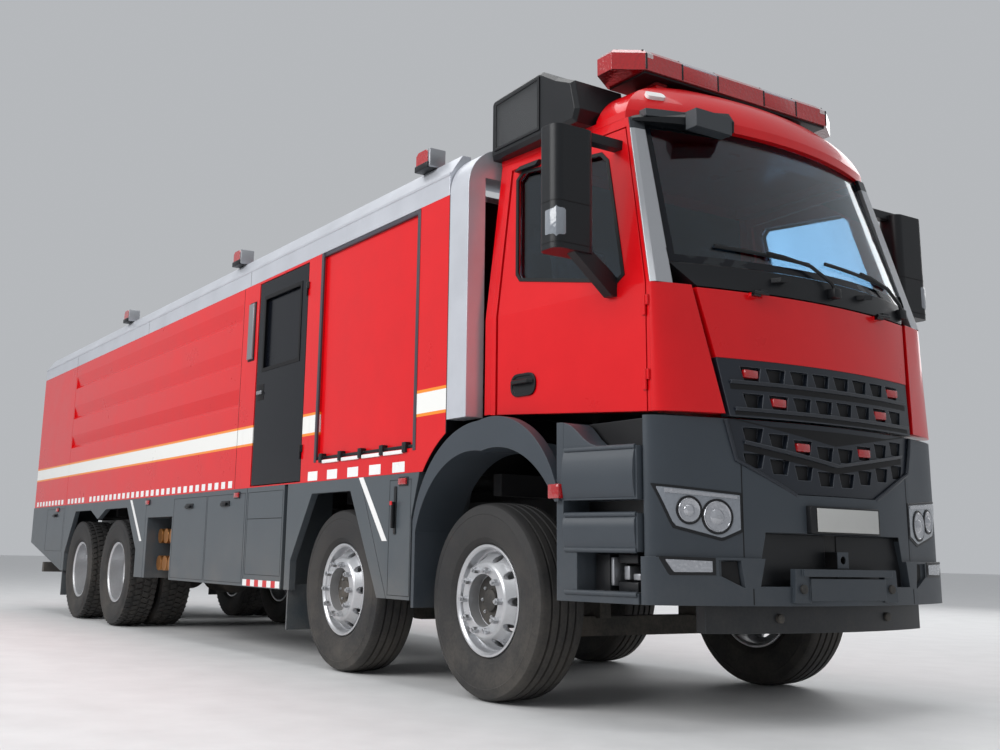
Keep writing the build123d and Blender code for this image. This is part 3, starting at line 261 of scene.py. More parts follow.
@dataclass(frozen=True)
class Finish:
    """A surface finish, made into one material when it is first used."""

    name: str
    colour: Colour
    roughness: float = 0.4
    metallic: float = 0.0
    coat: float = 0.0
    relief: Relief = Relief.MOULDED
    depth: float = 0.0002
    dust: float = 0.25
    dust_top: float = 1.2
    # Share and colour of the lighter edges: partly wear, partly painted highlight.
    wear: float = 0.0
    wear_colour: Colour = (0.5, 0.5, 0.5)
    transmission: float = 0.0
    glow: float = 0.0
    sheen: float = 0.0
    specular: float = 0.5
    edge: float = 0.006
    zones: tuple[Zone, ...] = ()

    def material(self) -> bpy.types.Material:
        """Gives the finish's material, built on the first call."""
        return bpy.data.materials.get(self.name) or self._build()

    def _build(self) -> bpy.types.Material:
        """Builds the material.

        Returns:
            The material with its node tree.
        """
        material = bpy.data.materials.new(self.name)
        material.use_nodes = True
        material.diffuse_color = (*self.colour, 1.0)
        graph = Graph(material.node_tree)
        grime = graph.add("ShaderNodeGroup", {"Top": self.dust_top}, node_tree=GROUPS.grime).outputs
        edge = graph.add("ShaderNodeGroup", {"Radius": self.edge}, node_tree=GROUPS.edge).outputs
        tone = graph.mix(grime["Mottle"], *(
            tuple(min(1.0, share * value) for value in self.colour) for share in TONES))
        metal: object = self.metallic
        for zone in self.zones:
            low, high = zip(zone.x, zone.y, zone.z)
            mask = graph.add("ShaderNodeGroup", {"Low": low, "High": high}, node_tree=GROUPS.zone).outputs["Mask"]
            tone = graph.mix(mask, tone, zone.colour)
            if zone.metallic != self.metallic:
                change = graph.math("MULTIPLY", mask, zone.metallic - self.metallic)
                metal = graph.math("ADD", metal, change, clamp=True)
        # Edges take a lighter colour: partly wear, partly painted highlight.
        if self.wear:
            tone = graph.mix(graph.math("MULTIPLY", edge["Edge"], self.wear), tone, self.wear_colour)
        dusty = graph.math("MULTIPLY", grime["Dust"], self.dust)
        mottle = graph.math("MULTIPLY", graph.math("SUBTRACT", grime["Mottle"], 0.5), 0.18)
        rough = graph.math("ADD", self.roughness, mottle)
        bump = graph.add("ShaderNodeBump", {
            "Distance": self.depth, "Height": self._height(graph), "Normal": edge["Normal"]})
        sockets: dict[str, object] = {
            "Base Color": graph.mix(dusty, tone, DUST), "Metallic": metal, "Normal": bump.outputs["Normal"],
            "Roughness": graph.math("ADD", rough, graph.math("MULTIPLY", dusty, 0.5), clamp=True),
            "Transmission Weight": self.transmission, "Specular IOR Level": self.specular,
            "Sheen Weight": self.sheen, "Coat Weight": self.coat, "Coat Roughness": COAT_ROUGHNESS}
        if self.glow:
            sockets |= {"Emission Color": (*self.colour, 1.0), "Emission Strength": self.glow}
        shader = material.node_tree.nodes["Principled BSDF"]
        for label, value in sockets.items():
            graph.put(shader.inputs[label], value)
        return material

    def _height(self, graph: Graph) -> Socket:
        """Builds the height of the finish's relief.

        Args:
            graph: The material's graph.

        Returns:
            The height's socket, about 0 to 1.
        """
        place = graph.place()
        grains = {Relief.PEEL: (140.0, 1.0), Relief.CAST: (90.0, 5.0, 0.7), Relief.MOULDED: (700.0, 2.0)}
        if self.relief in grains:
            return graph.noise(place, *grains[self.relief])
        if self.relief is Relief.BRUSHED:
            stretch = graph.add("ShaderNodeMapping", {"Vector": place, "Scale": (3.0, 420.0, 420.0)})
            return graph.noise(stretch.outputs[0], 1.0, 2.0)
        if self.relief is Relief.FACETS:
            cells = graph.add("ShaderNodeTexVoronoi", {"Vector": place, "Scale": 45.0}, feature="F1")
            return cells.outputs["Distance"]
        along, across, up = graph.axes(place)

        def wave(value: Socket, rate: float) -> Socket:
            """Adds the sine of a value at a rate per metre."""
            return graph.math("SINE", graph.math("MULTIPLY", value, rate))

        if self.relief is Relief.SLATS:
            return graph.math("POWER", graph.math("ABSOLUTE", wave(up, math.pi / SLAT_PITCH)), 0.25)
        if self.relief is Relief.TREAD:
            bars = graph.math("MULTIPLY", *(wave(graph.math(way, along, across), 95.0) for way in ("ADD", "SUBTRACT")))
            return graph.ramp(graph.math("ABSOLUTE", bars), 0.55, 0.75)
        return graph.math("MULTIPLY", *(wave(graph.math("ADD", axis, up), 1600.0) for axis in (along, across)))


# Near black, for black parts and for painted shade in gaps, recesses and under the body.
SHADE_AND_BLACK = (0.003, 0.003, 0.004)
ORANGE = (0.86, 0.26, 0.02)
WHITE = (0.82, 0.82, 0.79)
RED = (0.66, 0.002, 0.006)
# Near black for the inside faces of the cab and doors.
INSIDE_DARK = (0.02, 0.021, 0.024)
PILLAR = (0.42, 0.43, 0.45)
PITCH_BLACK = (0.007, 0.008, 0.010)
# Orange and white stripes; the near-black zones are painted shade in the gap behind the cab, on the body below the
# lockers and inside the front arch, plus a dark upright strip at x 2.08 to 2.18.
STRIPES = (
    Zone(ORANGE, (1.583, 1.745)), Zone(WHITE, (1.602, 1.726)),
    Zone(SHADE_AND_BLACK, (1.0, 3.0), (4.062, 4.3)), Zone(SHADE_AND_BLACK, (1.0, 1.2515)),
    Zone(SHADE_AND_BLACK, (1.0, 1.58), (3.72, 4.4), (-FAR, 1.246)), Zone(SHADE_AND_BLACK, (1.2, 3.0), (2.08, 2.18), (1.2512, 1.4)))
PAINT = Finish("red_coach_paint", RED, 0.3, coat=0.45, specular=0.2, relief=Relief.PEEL, depth=0.00012,
               dust=0.12, dust_top=1.7)
STRIPED = replace(PAINT, name="striped_coach_paint", zones=STRIPES)
# The near-black zones are painted shade under the cab and inside the front wheel arches; the inside faces are made near
# black.
CAB_PAINT = replace(PAINT, name="cab_paint", zones=(
    Zone(SHADE_AND_BLACK, (1.0, 1.75), (4.0, 5.545), (-FAR, 1.03)), Zone(SHADE_AND_BLACK, (1.0, 1.437)),
    Zone(INSIDE_DARK, (1.6, 3.05), (4.36, 5.54), (-FAR, 0.915))))
DOOR_PAINT = replace(PAINT, name="door_paint", zones=(
    Zone(INSIDE_DARK, (1.44, 2.1), y=(-FAR, 1.0)), Zone(INSIDE_DARK, (2.1, 3.1), y=(-FAR, 0.93))))
FLAP_PAINT = replace(PAINT, name="flap_paint", zones=(
    Zone(SHADE_AND_BLACK, (2.07, 2.2), (5.745, 5.9), (0.42, 0.6)),))
SHUTTER = replace(PAINT, name="red_shutter_slats", roughness=0.32, coat=0.35, relief=Relief.SLATS, depth=0.0002)
# Skirt and bumper edges are lightened: partly wear, partly painted highlight.
SKIRT = Finish("grey_skirt_paint", (0.062, 0.075, 0.086), coat=0.25, relief=Relief.PEEL, depth=0.0001,
               dust=0.35, wear=0.25, wear_colour=(0.2, 0.22, 0.24))
BUMPER = Finish("grey_moulded_plastic", (0.042, 0.052, 0.064), 0.42, dust=0.14, specular=0.4, wear=0.3,
                wear_colour=(0.16, 0.18, 0.2))
# The lowest zone is the black lower lip; the near-black zones are painted shade in the corner intakes and the middle
# intake's recess.
NOSE = replace(BUMPER, name="bumper_plastic", zones=(
    Zone((0.010, 0.012, 0.015), (0.40, 0.5605)), Zone(SHADE_AND_BLACK, (0.642, 0.769), (5.3, 5.712), (0.642, 0.772)),
    Zone(SHADE_AND_BLACK, (0.652, 0.903), (5.3, 5.815), (-FAR, 0.505))))
# The near-black zones are painted shade in the steps' top recess, slot and open bay.
STEPS = replace(BUMPER, name="step_plastic", zones=(
    Zone(SHADE_AND_BLACK, (1.302, 1.5), (5.128, 5.553), (0.5, 1.20)), Zone(SHADE_AND_BLACK, (0.982, 1.044), (5.13, 5.56), (0.5, 1.105)),
    Zone(SHADE_AND_BLACK, (0.612, 0.799), (5.212, 5.56), (0.5, 1.090))))
# Its edges are lightened strongly: mostly painted highlight on the teeth, partly wear.
GRILLE = Finish("grille_plastic", (0.012, 0.016, 0.024), 0.3, dust=0.06, specular=0.4, wear=0.6,
                wear_colour=(0.20, 0.22, 0.25), edge=0.008)
BLACK = Finish("black_moulded_plastic", PITCH_BLACK, 0.38, dust=0.06, specular=0.35)
GLOSS_BLACK = Finish("black_gloss_paint", (0.004, 0.005, 0.008), 0.24, coat=0.08, specular=0.2,
                     relief=Relief.PEEL, depth=0.00008, dust=0.12, dust_top=1.7)
SILVER = Finish("silver_anodised", (0.66, 0.68, 0.73), 0.34, metallic=0.55, relief=Relief.BRUSHED,
                depth=0.00004, dust=0.1, dust_top=2.0)
DECK = Finish("tread_plate_aluminium", (0.5, 0.51, 0.53), 0.42, metallic=0.9, relief=Relief.TREAD,
              depth=0.0015, dust=0.1)
RIM = Finish("cast_wheel_silver", (0.62, 0.63, 0.65), 0.3, metallic=0.75, relief=Relief.CAST, depth=0.00025,
             dust=0.35)
RUBBER = Finish("tyre_rubber", (0.016, 0.016, 0.017), 0.72, depth=0.0004, relief=Relief.CAST, dust=0.26,
                dust_top=1.3, edge=0.002)
CHASSIS = Finish("chassis_black", (0.022, 0.022, 0.024), 0.5, relief=Relief.CAST, depth=0.0004, dust=0.6)
CASTING = Finish("axle_casting", (0.035, 0.034, 0.033), 0.62, metallic=0.3, relief=Relief.CAST, depth=0.0008,
                 dust=0.7)
GLASS = Finish("dark_cab_glass", (0.33, 0.48, 0.61), 0.03, relief=Relief.PEEL, depth=0.00001, dust=0.02,
               transmission=1.0, edge=0.002)
LENS = Finish("clear_lamp_lens", (0.62, 0.66, 0.70), 0.1, coat=1.0, metallic=0.4, relief=Relief.FACETS,
              depth=0.004, dust=0.1, edge=0.003)
RED_LENS = Finish("red_lamp_lens", (0.42, 0.005, 0.008), 0.12, coat=1.0, relief=Relief.FACETS, depth=0.003,
                  dust=0.1, transmission=0.2, glow=0.12)
BAR_LENS = replace(RED_LENS, name="light_bar_lens", zones=(
    Zone(SHADE_AND_BLACK, (3.30, 3.416)), Zone((0.40, 0.45, 0.52), (3.482, 3.56), y=(0.196, 0.466)),
    Zone((0.62, 0.62, 0.62), (3.49, 3.56), y=(0.69, 0.735))))
MARKER = replace(RED_LENS, name="marker_lamp_lens", zones=(
    Zone(SHADE_AND_BLACK, (3.15, 3.221)), Zone((0.60, 0.16, 0.01), (1.28, 1.37), (-5.9, -5.8), (1.072, 1.2)),
    Zone((0.55, 0.56, 0.58), (1.28, 1.37), (-5.9, -5.8), (0.8, 0.985))))
BRASS = Finish("brass_couplings", (0.50, 0.21, 0.055), 0.32, metallic=0.85, relief=Relief.CAST, depth=0.0004,
               dust=0.3)
NUT = Finish("zinc_nuts", (0.55, 0.56, 0.58), 0.28, metallic=0.9, relief=Relief.CAST, dust=0.3, edge=0.001)
TAPE_WHITE = Finish("white_marker_tape", (0.85, 0.85, 0.84), 0.3, relief=Relief.FACETS, dust=0.2, edge=0.001)
TAPE_RED = replace(TAPE_WHITE, name="red_marker_tape", colour=(0.62, 0.01, 0.015))
TRIM = Finish("cab_trim_plastic", PITCH_BLACK, 0.32, dust=0.06, specular=0.35, zones=(
    Zone(PILLAR, (2.106, 2.3), (5.3, 5.7), (0.926, 2.0), 0.7),
    Zone(PILLAR, (2.3, 3.062), (5.3, 5.7), (0.866, 2.0), 0.7),
    Zone((0.05, 0.055, 0.062), (2.995, 3.12), (5.25, 5.7))))
SEAL = Finish("rubber_seal", (0.004, 0.004, 0.005), 0.55, depth=0.0001, dust=0.05, specular=0.3, edge=0.001)
LED = Finish("lamp_reflector", (0.42, 0.43, 0.46), 0.12, metallic=0.6, coat=1.0, relief=Relief.FACETS,
             depth=0.003, dust=0.1, edge=0.002)
SMOKE = Finish("grey_lamp_lens", (0.22, 0.24, 0.27), 0.15, coat=1.0, relief=Relief.FACETS, depth=0.002,
               dust=0.1, edge=0.002)
CHROME = Finish("bright_reflector", (0.80, 0.82, 0.85), 0.08, metallic=1.0, relief=Relief.CAST, depth=0.0001,
                dust=0.03, edge=0.002)
SATIN = Finish("satin_grey_metal", (0.36, 0.37, 0.39), 0.38, metallic=0.8, relief=Relief.BRUSHED,
               depth=0.00004, dust=0.15, edge=0.002)
GUIDE = Finish("dark_shutter_guide", (0.045, 0.042, 0.055), relief=Relief.BRUSHED, depth=0.00004, dust=0.15,
               edge=0.002)
PLATE = Finish("blank_plate", (0.55, 0.55, 0.53), metallic=0.2, relief=Relief.CAST, depth=0.0001, dust=0.2,
               edge=0.001)
MESH = Finish("intake_wire_mesh", (0.10, 0.105, 0.11), 0.45, metallic=0.5, relief=Relief.WEAVE, depth=0.002,
              dust=0.15, edge=0.001)
CLOTH = Finish("seat_cloth", (0.035, 0.038, 0.044), 0.85, relief=Relief.WEAVE, depth=0.0006, dust=0.0, sheen=0.4)
FLOOR = Finish("studio_floor", (0.70, 0.70, 0.70), 0.6, relief=Relief.CAST, dust=0.0)

# Finish of each CAD node; a star stands for either side.
LIVERY: dict[Finish, str] = {
    PAINT: "cab_roof monitor_turntable monitor_barrel",
    CAB_PAINT: "cab_tub cab_side_frames",
    DOOR_PAINT: "cab_door_*",
    FLAP_PAINT: "flap_panel",
    STRIPED: "front_body pump_cabin tank_body rear_body",
    SHUTTER: "roller_shutters",
    SKIRT: "side_lockers arch_panels",
    NOSE: "bumper",
    STEPS: "steps_fenders",
    TRIM: "cab_trim",
    GRILLE: "lower_grille upper_grille",
    BLACK: "dashboard mirror_*",
    GLOSS_BLACK: "pump_door_*",
    SILVER: "roof_rails",
    DECK: "roof_deck",
    CHASSIS: "chassis_frame frame_members driveline",
    CASTING: "axle_beams knuckle_1_* knuckle_2_*",
    RIM: "rim_1_* rim_2_* rims_3_* rims_4_*",
    GLASS: "windscreen cab_window_*",
    LENS: "headlamps",
    BAR_LENS: "light_bar",
    MARKER: "marker_lamps",
    BRASS: "hose_couplings",
}


def dress() -> None:
    """Gives each CAD node its finish."""
    for finish, nodes in LIVERY.items():
        for node in dict.fromkeys(name.replace("*", side.word) for name in nodes.split() for side in Side):
            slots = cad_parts[node].data.materials
            slots.clear()
            slots.append(finish.material())
            LOG.info("dressed %s in %s", node, finish.name)


def settle(name: str, mesh: Mesh, finish: Finish, body: str, smooth: float = 0.6) -> Piece:
    """Makes a finished piece of a mesh and sets it on a body.

    Args:
        name: The piece's name.
        mesh: Its mesh, in place.
        finish: Its finish.
        body: The CAD body that carries it.
        smooth: Angle in radians under which faces are shaded smooth.

    Returns:
        The piece.
    """
    piece = bpy.data.objects.new(name, mesh)
    bpy.context.scene.collection.objects.link(piece)
    mesh.materials.clear()
    mesh.materials.append(finish.material())
    mesh.polygons.foreach_set("use_smooth", [True] * len(mesh.polygons))
    mesh.set_sharp_from_angle(angle=smooth)
    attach(piece, body)
    LOG.info("%s: %d faces on %s", name, len(mesh.polygons), body)
    return piece


def evaluated(thing: bpy.types.Object) -> Mesh:
    """Gives a plain mesh of an object with its modifiers."""
    return bpy.data.meshes.new_from_object(thing.evaluated_get(bpy.context.evaluated_depsgraph_get()))


class Form:
    """A mesh in the making, filled with simple shapes and then settled as a piece."""

    def __init__(self) -> None:
        """Opens an empty form."""
        self.mesh = bmesh.new()

    def loft(self, loops: Iterable[Sequence[Point]], ends: bool = True) -> "Form":
        """Adds a skin through loops of equal point counts.

        Args:
            loops: The loops' points.
            ends: Whether faces close the first and last loops; if not, the skin runs on to the first.

        Returns:
            The form.
        """
        rings = [[self.mesh.verts.new(point) for point in loop] for loop in loops]
        for here, there in zip(rings, rings[1:] if ends else rings[1:] + rings[:1]):
            for index in range(len(here)):
                after = (index + 1) % len(here)
                self.mesh.faces.new((here[index], here[after], there[after], there[index]))
        if ends:
            self.mesh.faces.new(rings[0])
            self.mesh.faces.new(list(reversed(rings[-1])))
        return self

    def block(self, first: Point, second: Point, bevel: float = 0.0) -> "Form":
        """Adds a box with rounded edges.

        Args:
            first: One corner.
            second: The opposite corner.
            bevel: Radius of the edges.

        Returns:
            The form.
        """
        low, high = (Vector(tuple(map(pick, first, second))) for pick in (min, max))
        place = Matrix.Translation((high + low) / 2) @ Matrix.Diagonal((*(high - low), 1.0))
        made = bmesh.ops.create_cube(self.mesh, size=1.0, matrix=place)
        if bevel:
            edges = list({edge for vertex in made["verts"] for edge in vertex.link_edges})
            bmesh.ops.bevel(self.mesh, geom=edges, offset=bevel, segments=2, affect="EDGES", profile=0.5)
        return self

    def lathe(self, profile: Sequence[Flat], segments: int, place: Matrix) -> "Form":
        """Adds a ring turned about the local Y axis from a closed profile.

        Args:
            profile: Points of y and radius, in order round the section.
            segments: Steps round the axis.
            place: Where the local frame stands.

        Returns:
            The form.
        """
        turns = (2 * math.pi * step / segments for step in range(segments))
        return self.loft([[place @ Vector((r * math.sin(turn), y, r * math.cos(turn))) for y, r in profile]
                          for turn in turns], ends=False)

    def plate(self, outline: Sequence[Point], push: Point) -> "Form":
        """Adds a plate from a closed outline pushed along a vector.

        The seats' filling depends on the order of these faces.

        Args:
            outline: Corner points of one face.
            push: Offset of the other face.

        Returns:
            The form.
        """
        first = [self.mesh.verts.new(point) for point in outline]
        second = [self.mesh.verts.new(Vector(point) + Vector(push)) for point in outline]
        self.mesh.faces.new(first)
        self.mesh.faces.new(list(reversed(second)))
        for index in range(len(first)):
            after = (index + 1) % len(first)
            self.mesh.faces.new((first[index], second[index], second[after], first[after]))
        return self

    def ring(self, outer: Sequence[Point], inner: Sequence[Point], push: Point) -> "Form":
        """Adds a closed frame between two loops of as many points, pushed along a vector."""
        return self.loft([(a, b, Vector(b) + Vector(push), Vector(a) + Vector(push)) for a, b in zip(outer, inner)],
                         ends=False)

    def tube(self, path: Sequence[Point], radius: float, sides: int = 8) -> "Form":
        """Adds a round bar along a path.

        Args:
            path: Points of the bar's middle line.
            radius: The bar's radius.
            sides: Sides of its section.

        Returns:
            The form.
        """
        points = [Vector(point) for point in path]
        rings = []
        for index, point in enumerate(points):
            ahead = (points[min(index + 1, len(points) - 1)] - points[max(index - 1, 0)]).normalized()
            across = ahead.cross(TUBE_REFERENCE).normalized()
            up = ahead.cross(across)
            turns = (2 * math.pi * step / sides for step in range(sides))
            rings.append([point + radius * (math.cos(turn) * across + math.sin(turn) * up) for turn in turns])
        return self.loft(rings)

    def to_mesh(self, name: str) -> Mesh:
        """Ends the form.

        Args:
            name: The mesh's name.

        Returns:
            The mesh, with its faces outwards.
        """
        bmesh.ops.remove_doubles(self.mesh, verts=self.mesh.verts, dist=1e-6)
        bmesh.ops.recalc_face_normals(self.mesh, faces=self.mesh.faces)
        mesh = bpy.data.meshes.new(name)
        self.mesh.to_mesh(mesh)
        self.mesh.free()
        return mesh

    def settle(self, name: str, finish: Finish, body: str = "chassis", smooth: float = 0.6) -> Piece:
        """Ends the form as a piece on a body."""
        return settle(name, self.to_mesh(name), finish, body, smooth=smooth)


def blocks(name: str, finish: Finish, boxes: Iterable[tuple[Point, Point]], bevel: float = 0.0,
           body: str = "chassis") -> Piece:
    """Makes one piece of several boxes.

    Args:
        name: The piece's name.
        finish: Its finish.
        boxes: Two opposite corners of each box.
        bevel: Radius of the edges.
        body: The body that carries it.

    Returns:
        The piece.
    """
    form = Form()
    for first, second in boxes:
        form.block(first, second, bevel)
    return form.settle(name, finish, body)


def offset_loop(loop: Sequence[Flat], by: float) -> list[Flat]:
    """Draws a closed outline outwards, whichever way round it runs.

    Args:
        loop: Corner points.
        by: Distance, inwards where it is negative.

    Returns:
        The moved corner points.
    """
    corners = [Vector(point) for point in loop]
    triples = list(zip(corners[-1:] + corners[:-1], corners, corners[1:] + corners[:1]))
    sign = 1.0 if sum(here.x * after.y - after.x * here.y for _, here, after in triples) > 0 else -1.0
    moved = []
    for before, here, after in triples:
        lines = ((here - before).normalized(), (after - here).normalized())
        normals = [Vector((line.y, -line.x)) * sign for line in lines]
        middle = (normals[0] + normals[1]).normalized()
        moved.append(tuple(here + middle * by / max(0.4, middle.dot(normals[0]))))
    return moved


def rounded(width: float, height: float, radius: float, steps: int = 5) -> list[Flat]:
    """Outline of a rectangle with round corners about its middle.

    Args:
        width: Its width.
        height: Its height.
        radius: Radius of the corners.
        steps: Points on each corner.

    Returns:
        The outline's points.
    """
    points = []
    for corner, (u, v) in enumerate(((1, 1), (-1, 1), (-1, -1), (1, -1))):
        for step in range(steps):
            angle = math.pi / 2 * (corner + step / (steps - 1))
            points.append((u * (width / 2 - radius) + radius * math.cos(angle),
                           v * (height / 2 - radius) + radius * math.sin(angle)))
    return points


class GeometryTree:
    """A Geometry Nodes tree with named inputs that ends in real, finished geometry."""

    def __init__(self, name: str, inputs: Mapping[str, object]) -> None:
        """Opens the tree.

        Args:
            name: The tree's name.
            inputs: Default value of each input.
        """
        self.graph, self.start, self.end = new_tree(
            name, "GeometryNodeTree", {**inputs, "Material": None}, {"Geometry": "NodeSocketGeometry"})

    def close(self, last: bpy.types.Node) -> "GeometryTree":
        """Ends the tree in a node's geometry, made real and given its material.

        Args:
            last: The node to end with.

        Returns:
            The tree.
        """
        real = self.graph.add("GeometryNodeRealizeInstances", {0: last.outputs[0]})
        finish = self.graph.add("GeometryNodeSetMaterial", {
            "Geometry": real.outputs[0], "Material": self.start.outputs["Material"]})
        self.graph.put(self.end.inputs[0], finish.outputs[0])
        return self

    def mesh(self, name: str, finish: Finish, **sizes: object) -> Mesh:
        """Runs the tree once.

        Args:
            name: The mesh's name.
            finish: Finish of the geometry.
            sizes: Values of the named inputs.

        Returns:
            The plain mesh.
        """
        blank = bpy.data.objects.new(name, bpy.data.meshes.new(name))
        bpy.context.scene.collection.objects.link(blank)
        modifier = blank.modifiers.new("pattern", "NODES")
        modifier.node_group = self.graph.tree
        keys = {item.name: item.identifier for item in self.graph.tree.interface.items_tree}
        for label, value in {**sizes, "Material": finish.material()}.items():
            modifier[keys[label]] = value
        made = evaluated(blank)
        bpy.data.objects.remove(blank)
        return made


class Patterns:
    """The repeating patterns of the vehicle."""

    def __init__(self) -> None:
        """Builds the trees."""
        self.row, self.nuts, self.lugs = self._row(), self._nuts(), self._lugs()

    @staticmethod
    def _row() -> GeometryTree:
        """Builds a row of blocks from a start point at even steps."""
        plan = GeometryTree("row_of_blocks", {
            "Count": 4, "Start": (0.0, 0.0, 0.0), "Step": (0.1, 0.0, 0.0), "Size": (0.05, 0.05, 0.05)})
        graph, value = plan.graph, plan.start.outputs
        line = graph.add("GeometryNodeMeshLine", {
            "Count": value["Count"], "Start Location": value["Start"], "Offset": value["Step"]}, mode="OFFSET")
        return plan.close(graph.copies(line, graph.add("GeometryNodeMeshCube", {"Size": value["Size"]})))

    @staticmethod
    def _nuts() -> GeometryTree:
        """Builds a ring of hexagon nuts about the Y axis, each with its stud."""
        plan = GeometryTree("ring_of_nuts", {"Count": 10, "Ring": 0.1675, "Nut": 0.019, "Height": 0.03})
        graph, value = plan.graph, plan.start.outputs
        circle = graph.add("GeometryNodeMeshCircle", {"Vertices": value["Count"], "Radius": value["Ring"]})
        parts = graph.add("GeometryNodeJoinGeometry")
        for sides, share, rise in ((6, 1.0, 1.0), (10, 0.55, 1.7)):
            body = graph.add("GeometryNodeMeshCylinder", {
                "Vertices": sides, "Radius": graph.math("MULTIPLY", value["Nut"], share),
                "Depth": graph.math("MULTIPLY", value["Height"], rise)})
            graph.put(parts.inputs[0], body.outputs[0])
        return plan.close(graph.add("GeometryNodeTransform", {
            "Geometry": graph.copies(circle, parts).outputs[0], "Rotation": (math.pi / 2, 0.0, 0.0)}))

    @staticmethod
    def _lugs() -> GeometryTree:
        """Builds a ring of tread blocks about the Y axis at one offset."""
        plan = GeometryTree("ring_of_tread_blocks", {
            "Count": 60, "Ring": 0.52, "Offset": 0.0, "Block": (0.04, 0.05, 0.02), "Phase": 0.0, "Skew": 0.0})
        graph, value = plan.graph, plan.start.outputs
        order = graph.math("ADD", graph.add("GeometryNodeInputIndex").outputs[0], value["Phase"])
        angle = graph.math("MULTIPLY", graph.math("DIVIDE", order, value["Count"]), 2 * math.pi)
        along, up = (graph.math("MULTIPLY", graph.math(wave, angle), value["Ring"]) for wave in ("SINE", "COSINE"))
        spot = graph.add("ShaderNodeCombineXYZ", {"X": along, "Y": value["Offset"], "Z": up})
        points = graph.add("GeometryNodePoints", {"Count": value["Count"], "Position": spot.outputs[0]})
        cube = graph.add("GeometryNodeMeshCube", {"Size": value["Block"]})
        lean = graph.add("ShaderNodeCombineXYZ", {"Z": value["Skew"]})
        block = graph.add("GeometryNodeTransform", {"Geometry": cube.outputs[0], "Rotation": lean.outputs[0]})
        spin = graph.add("ShaderNodeCombineXYZ", {"Y": angle})
        return plan.close(graph.copies(points, block, Rotation=spin.outputs[0]))


PATTERNS = Patterns()


def join_meshes(name: str, meshes: Iterable[Mesh]) -> Mesh:
    """Joins meshes that share a finish into one.

    Args:
        name: The joined mesh's name.
        meshes: The meshes, which are removed.

    Returns:
        The joined mesh.
    """
    form = bmesh.new()
    for mesh in meshes:
        form.from_mesh(mesh)
        bpy.data.meshes.remove(mesh)
    joined = bpy.data.meshes.new(name)
    form.to_mesh(joined)
    form.free()
    return joined


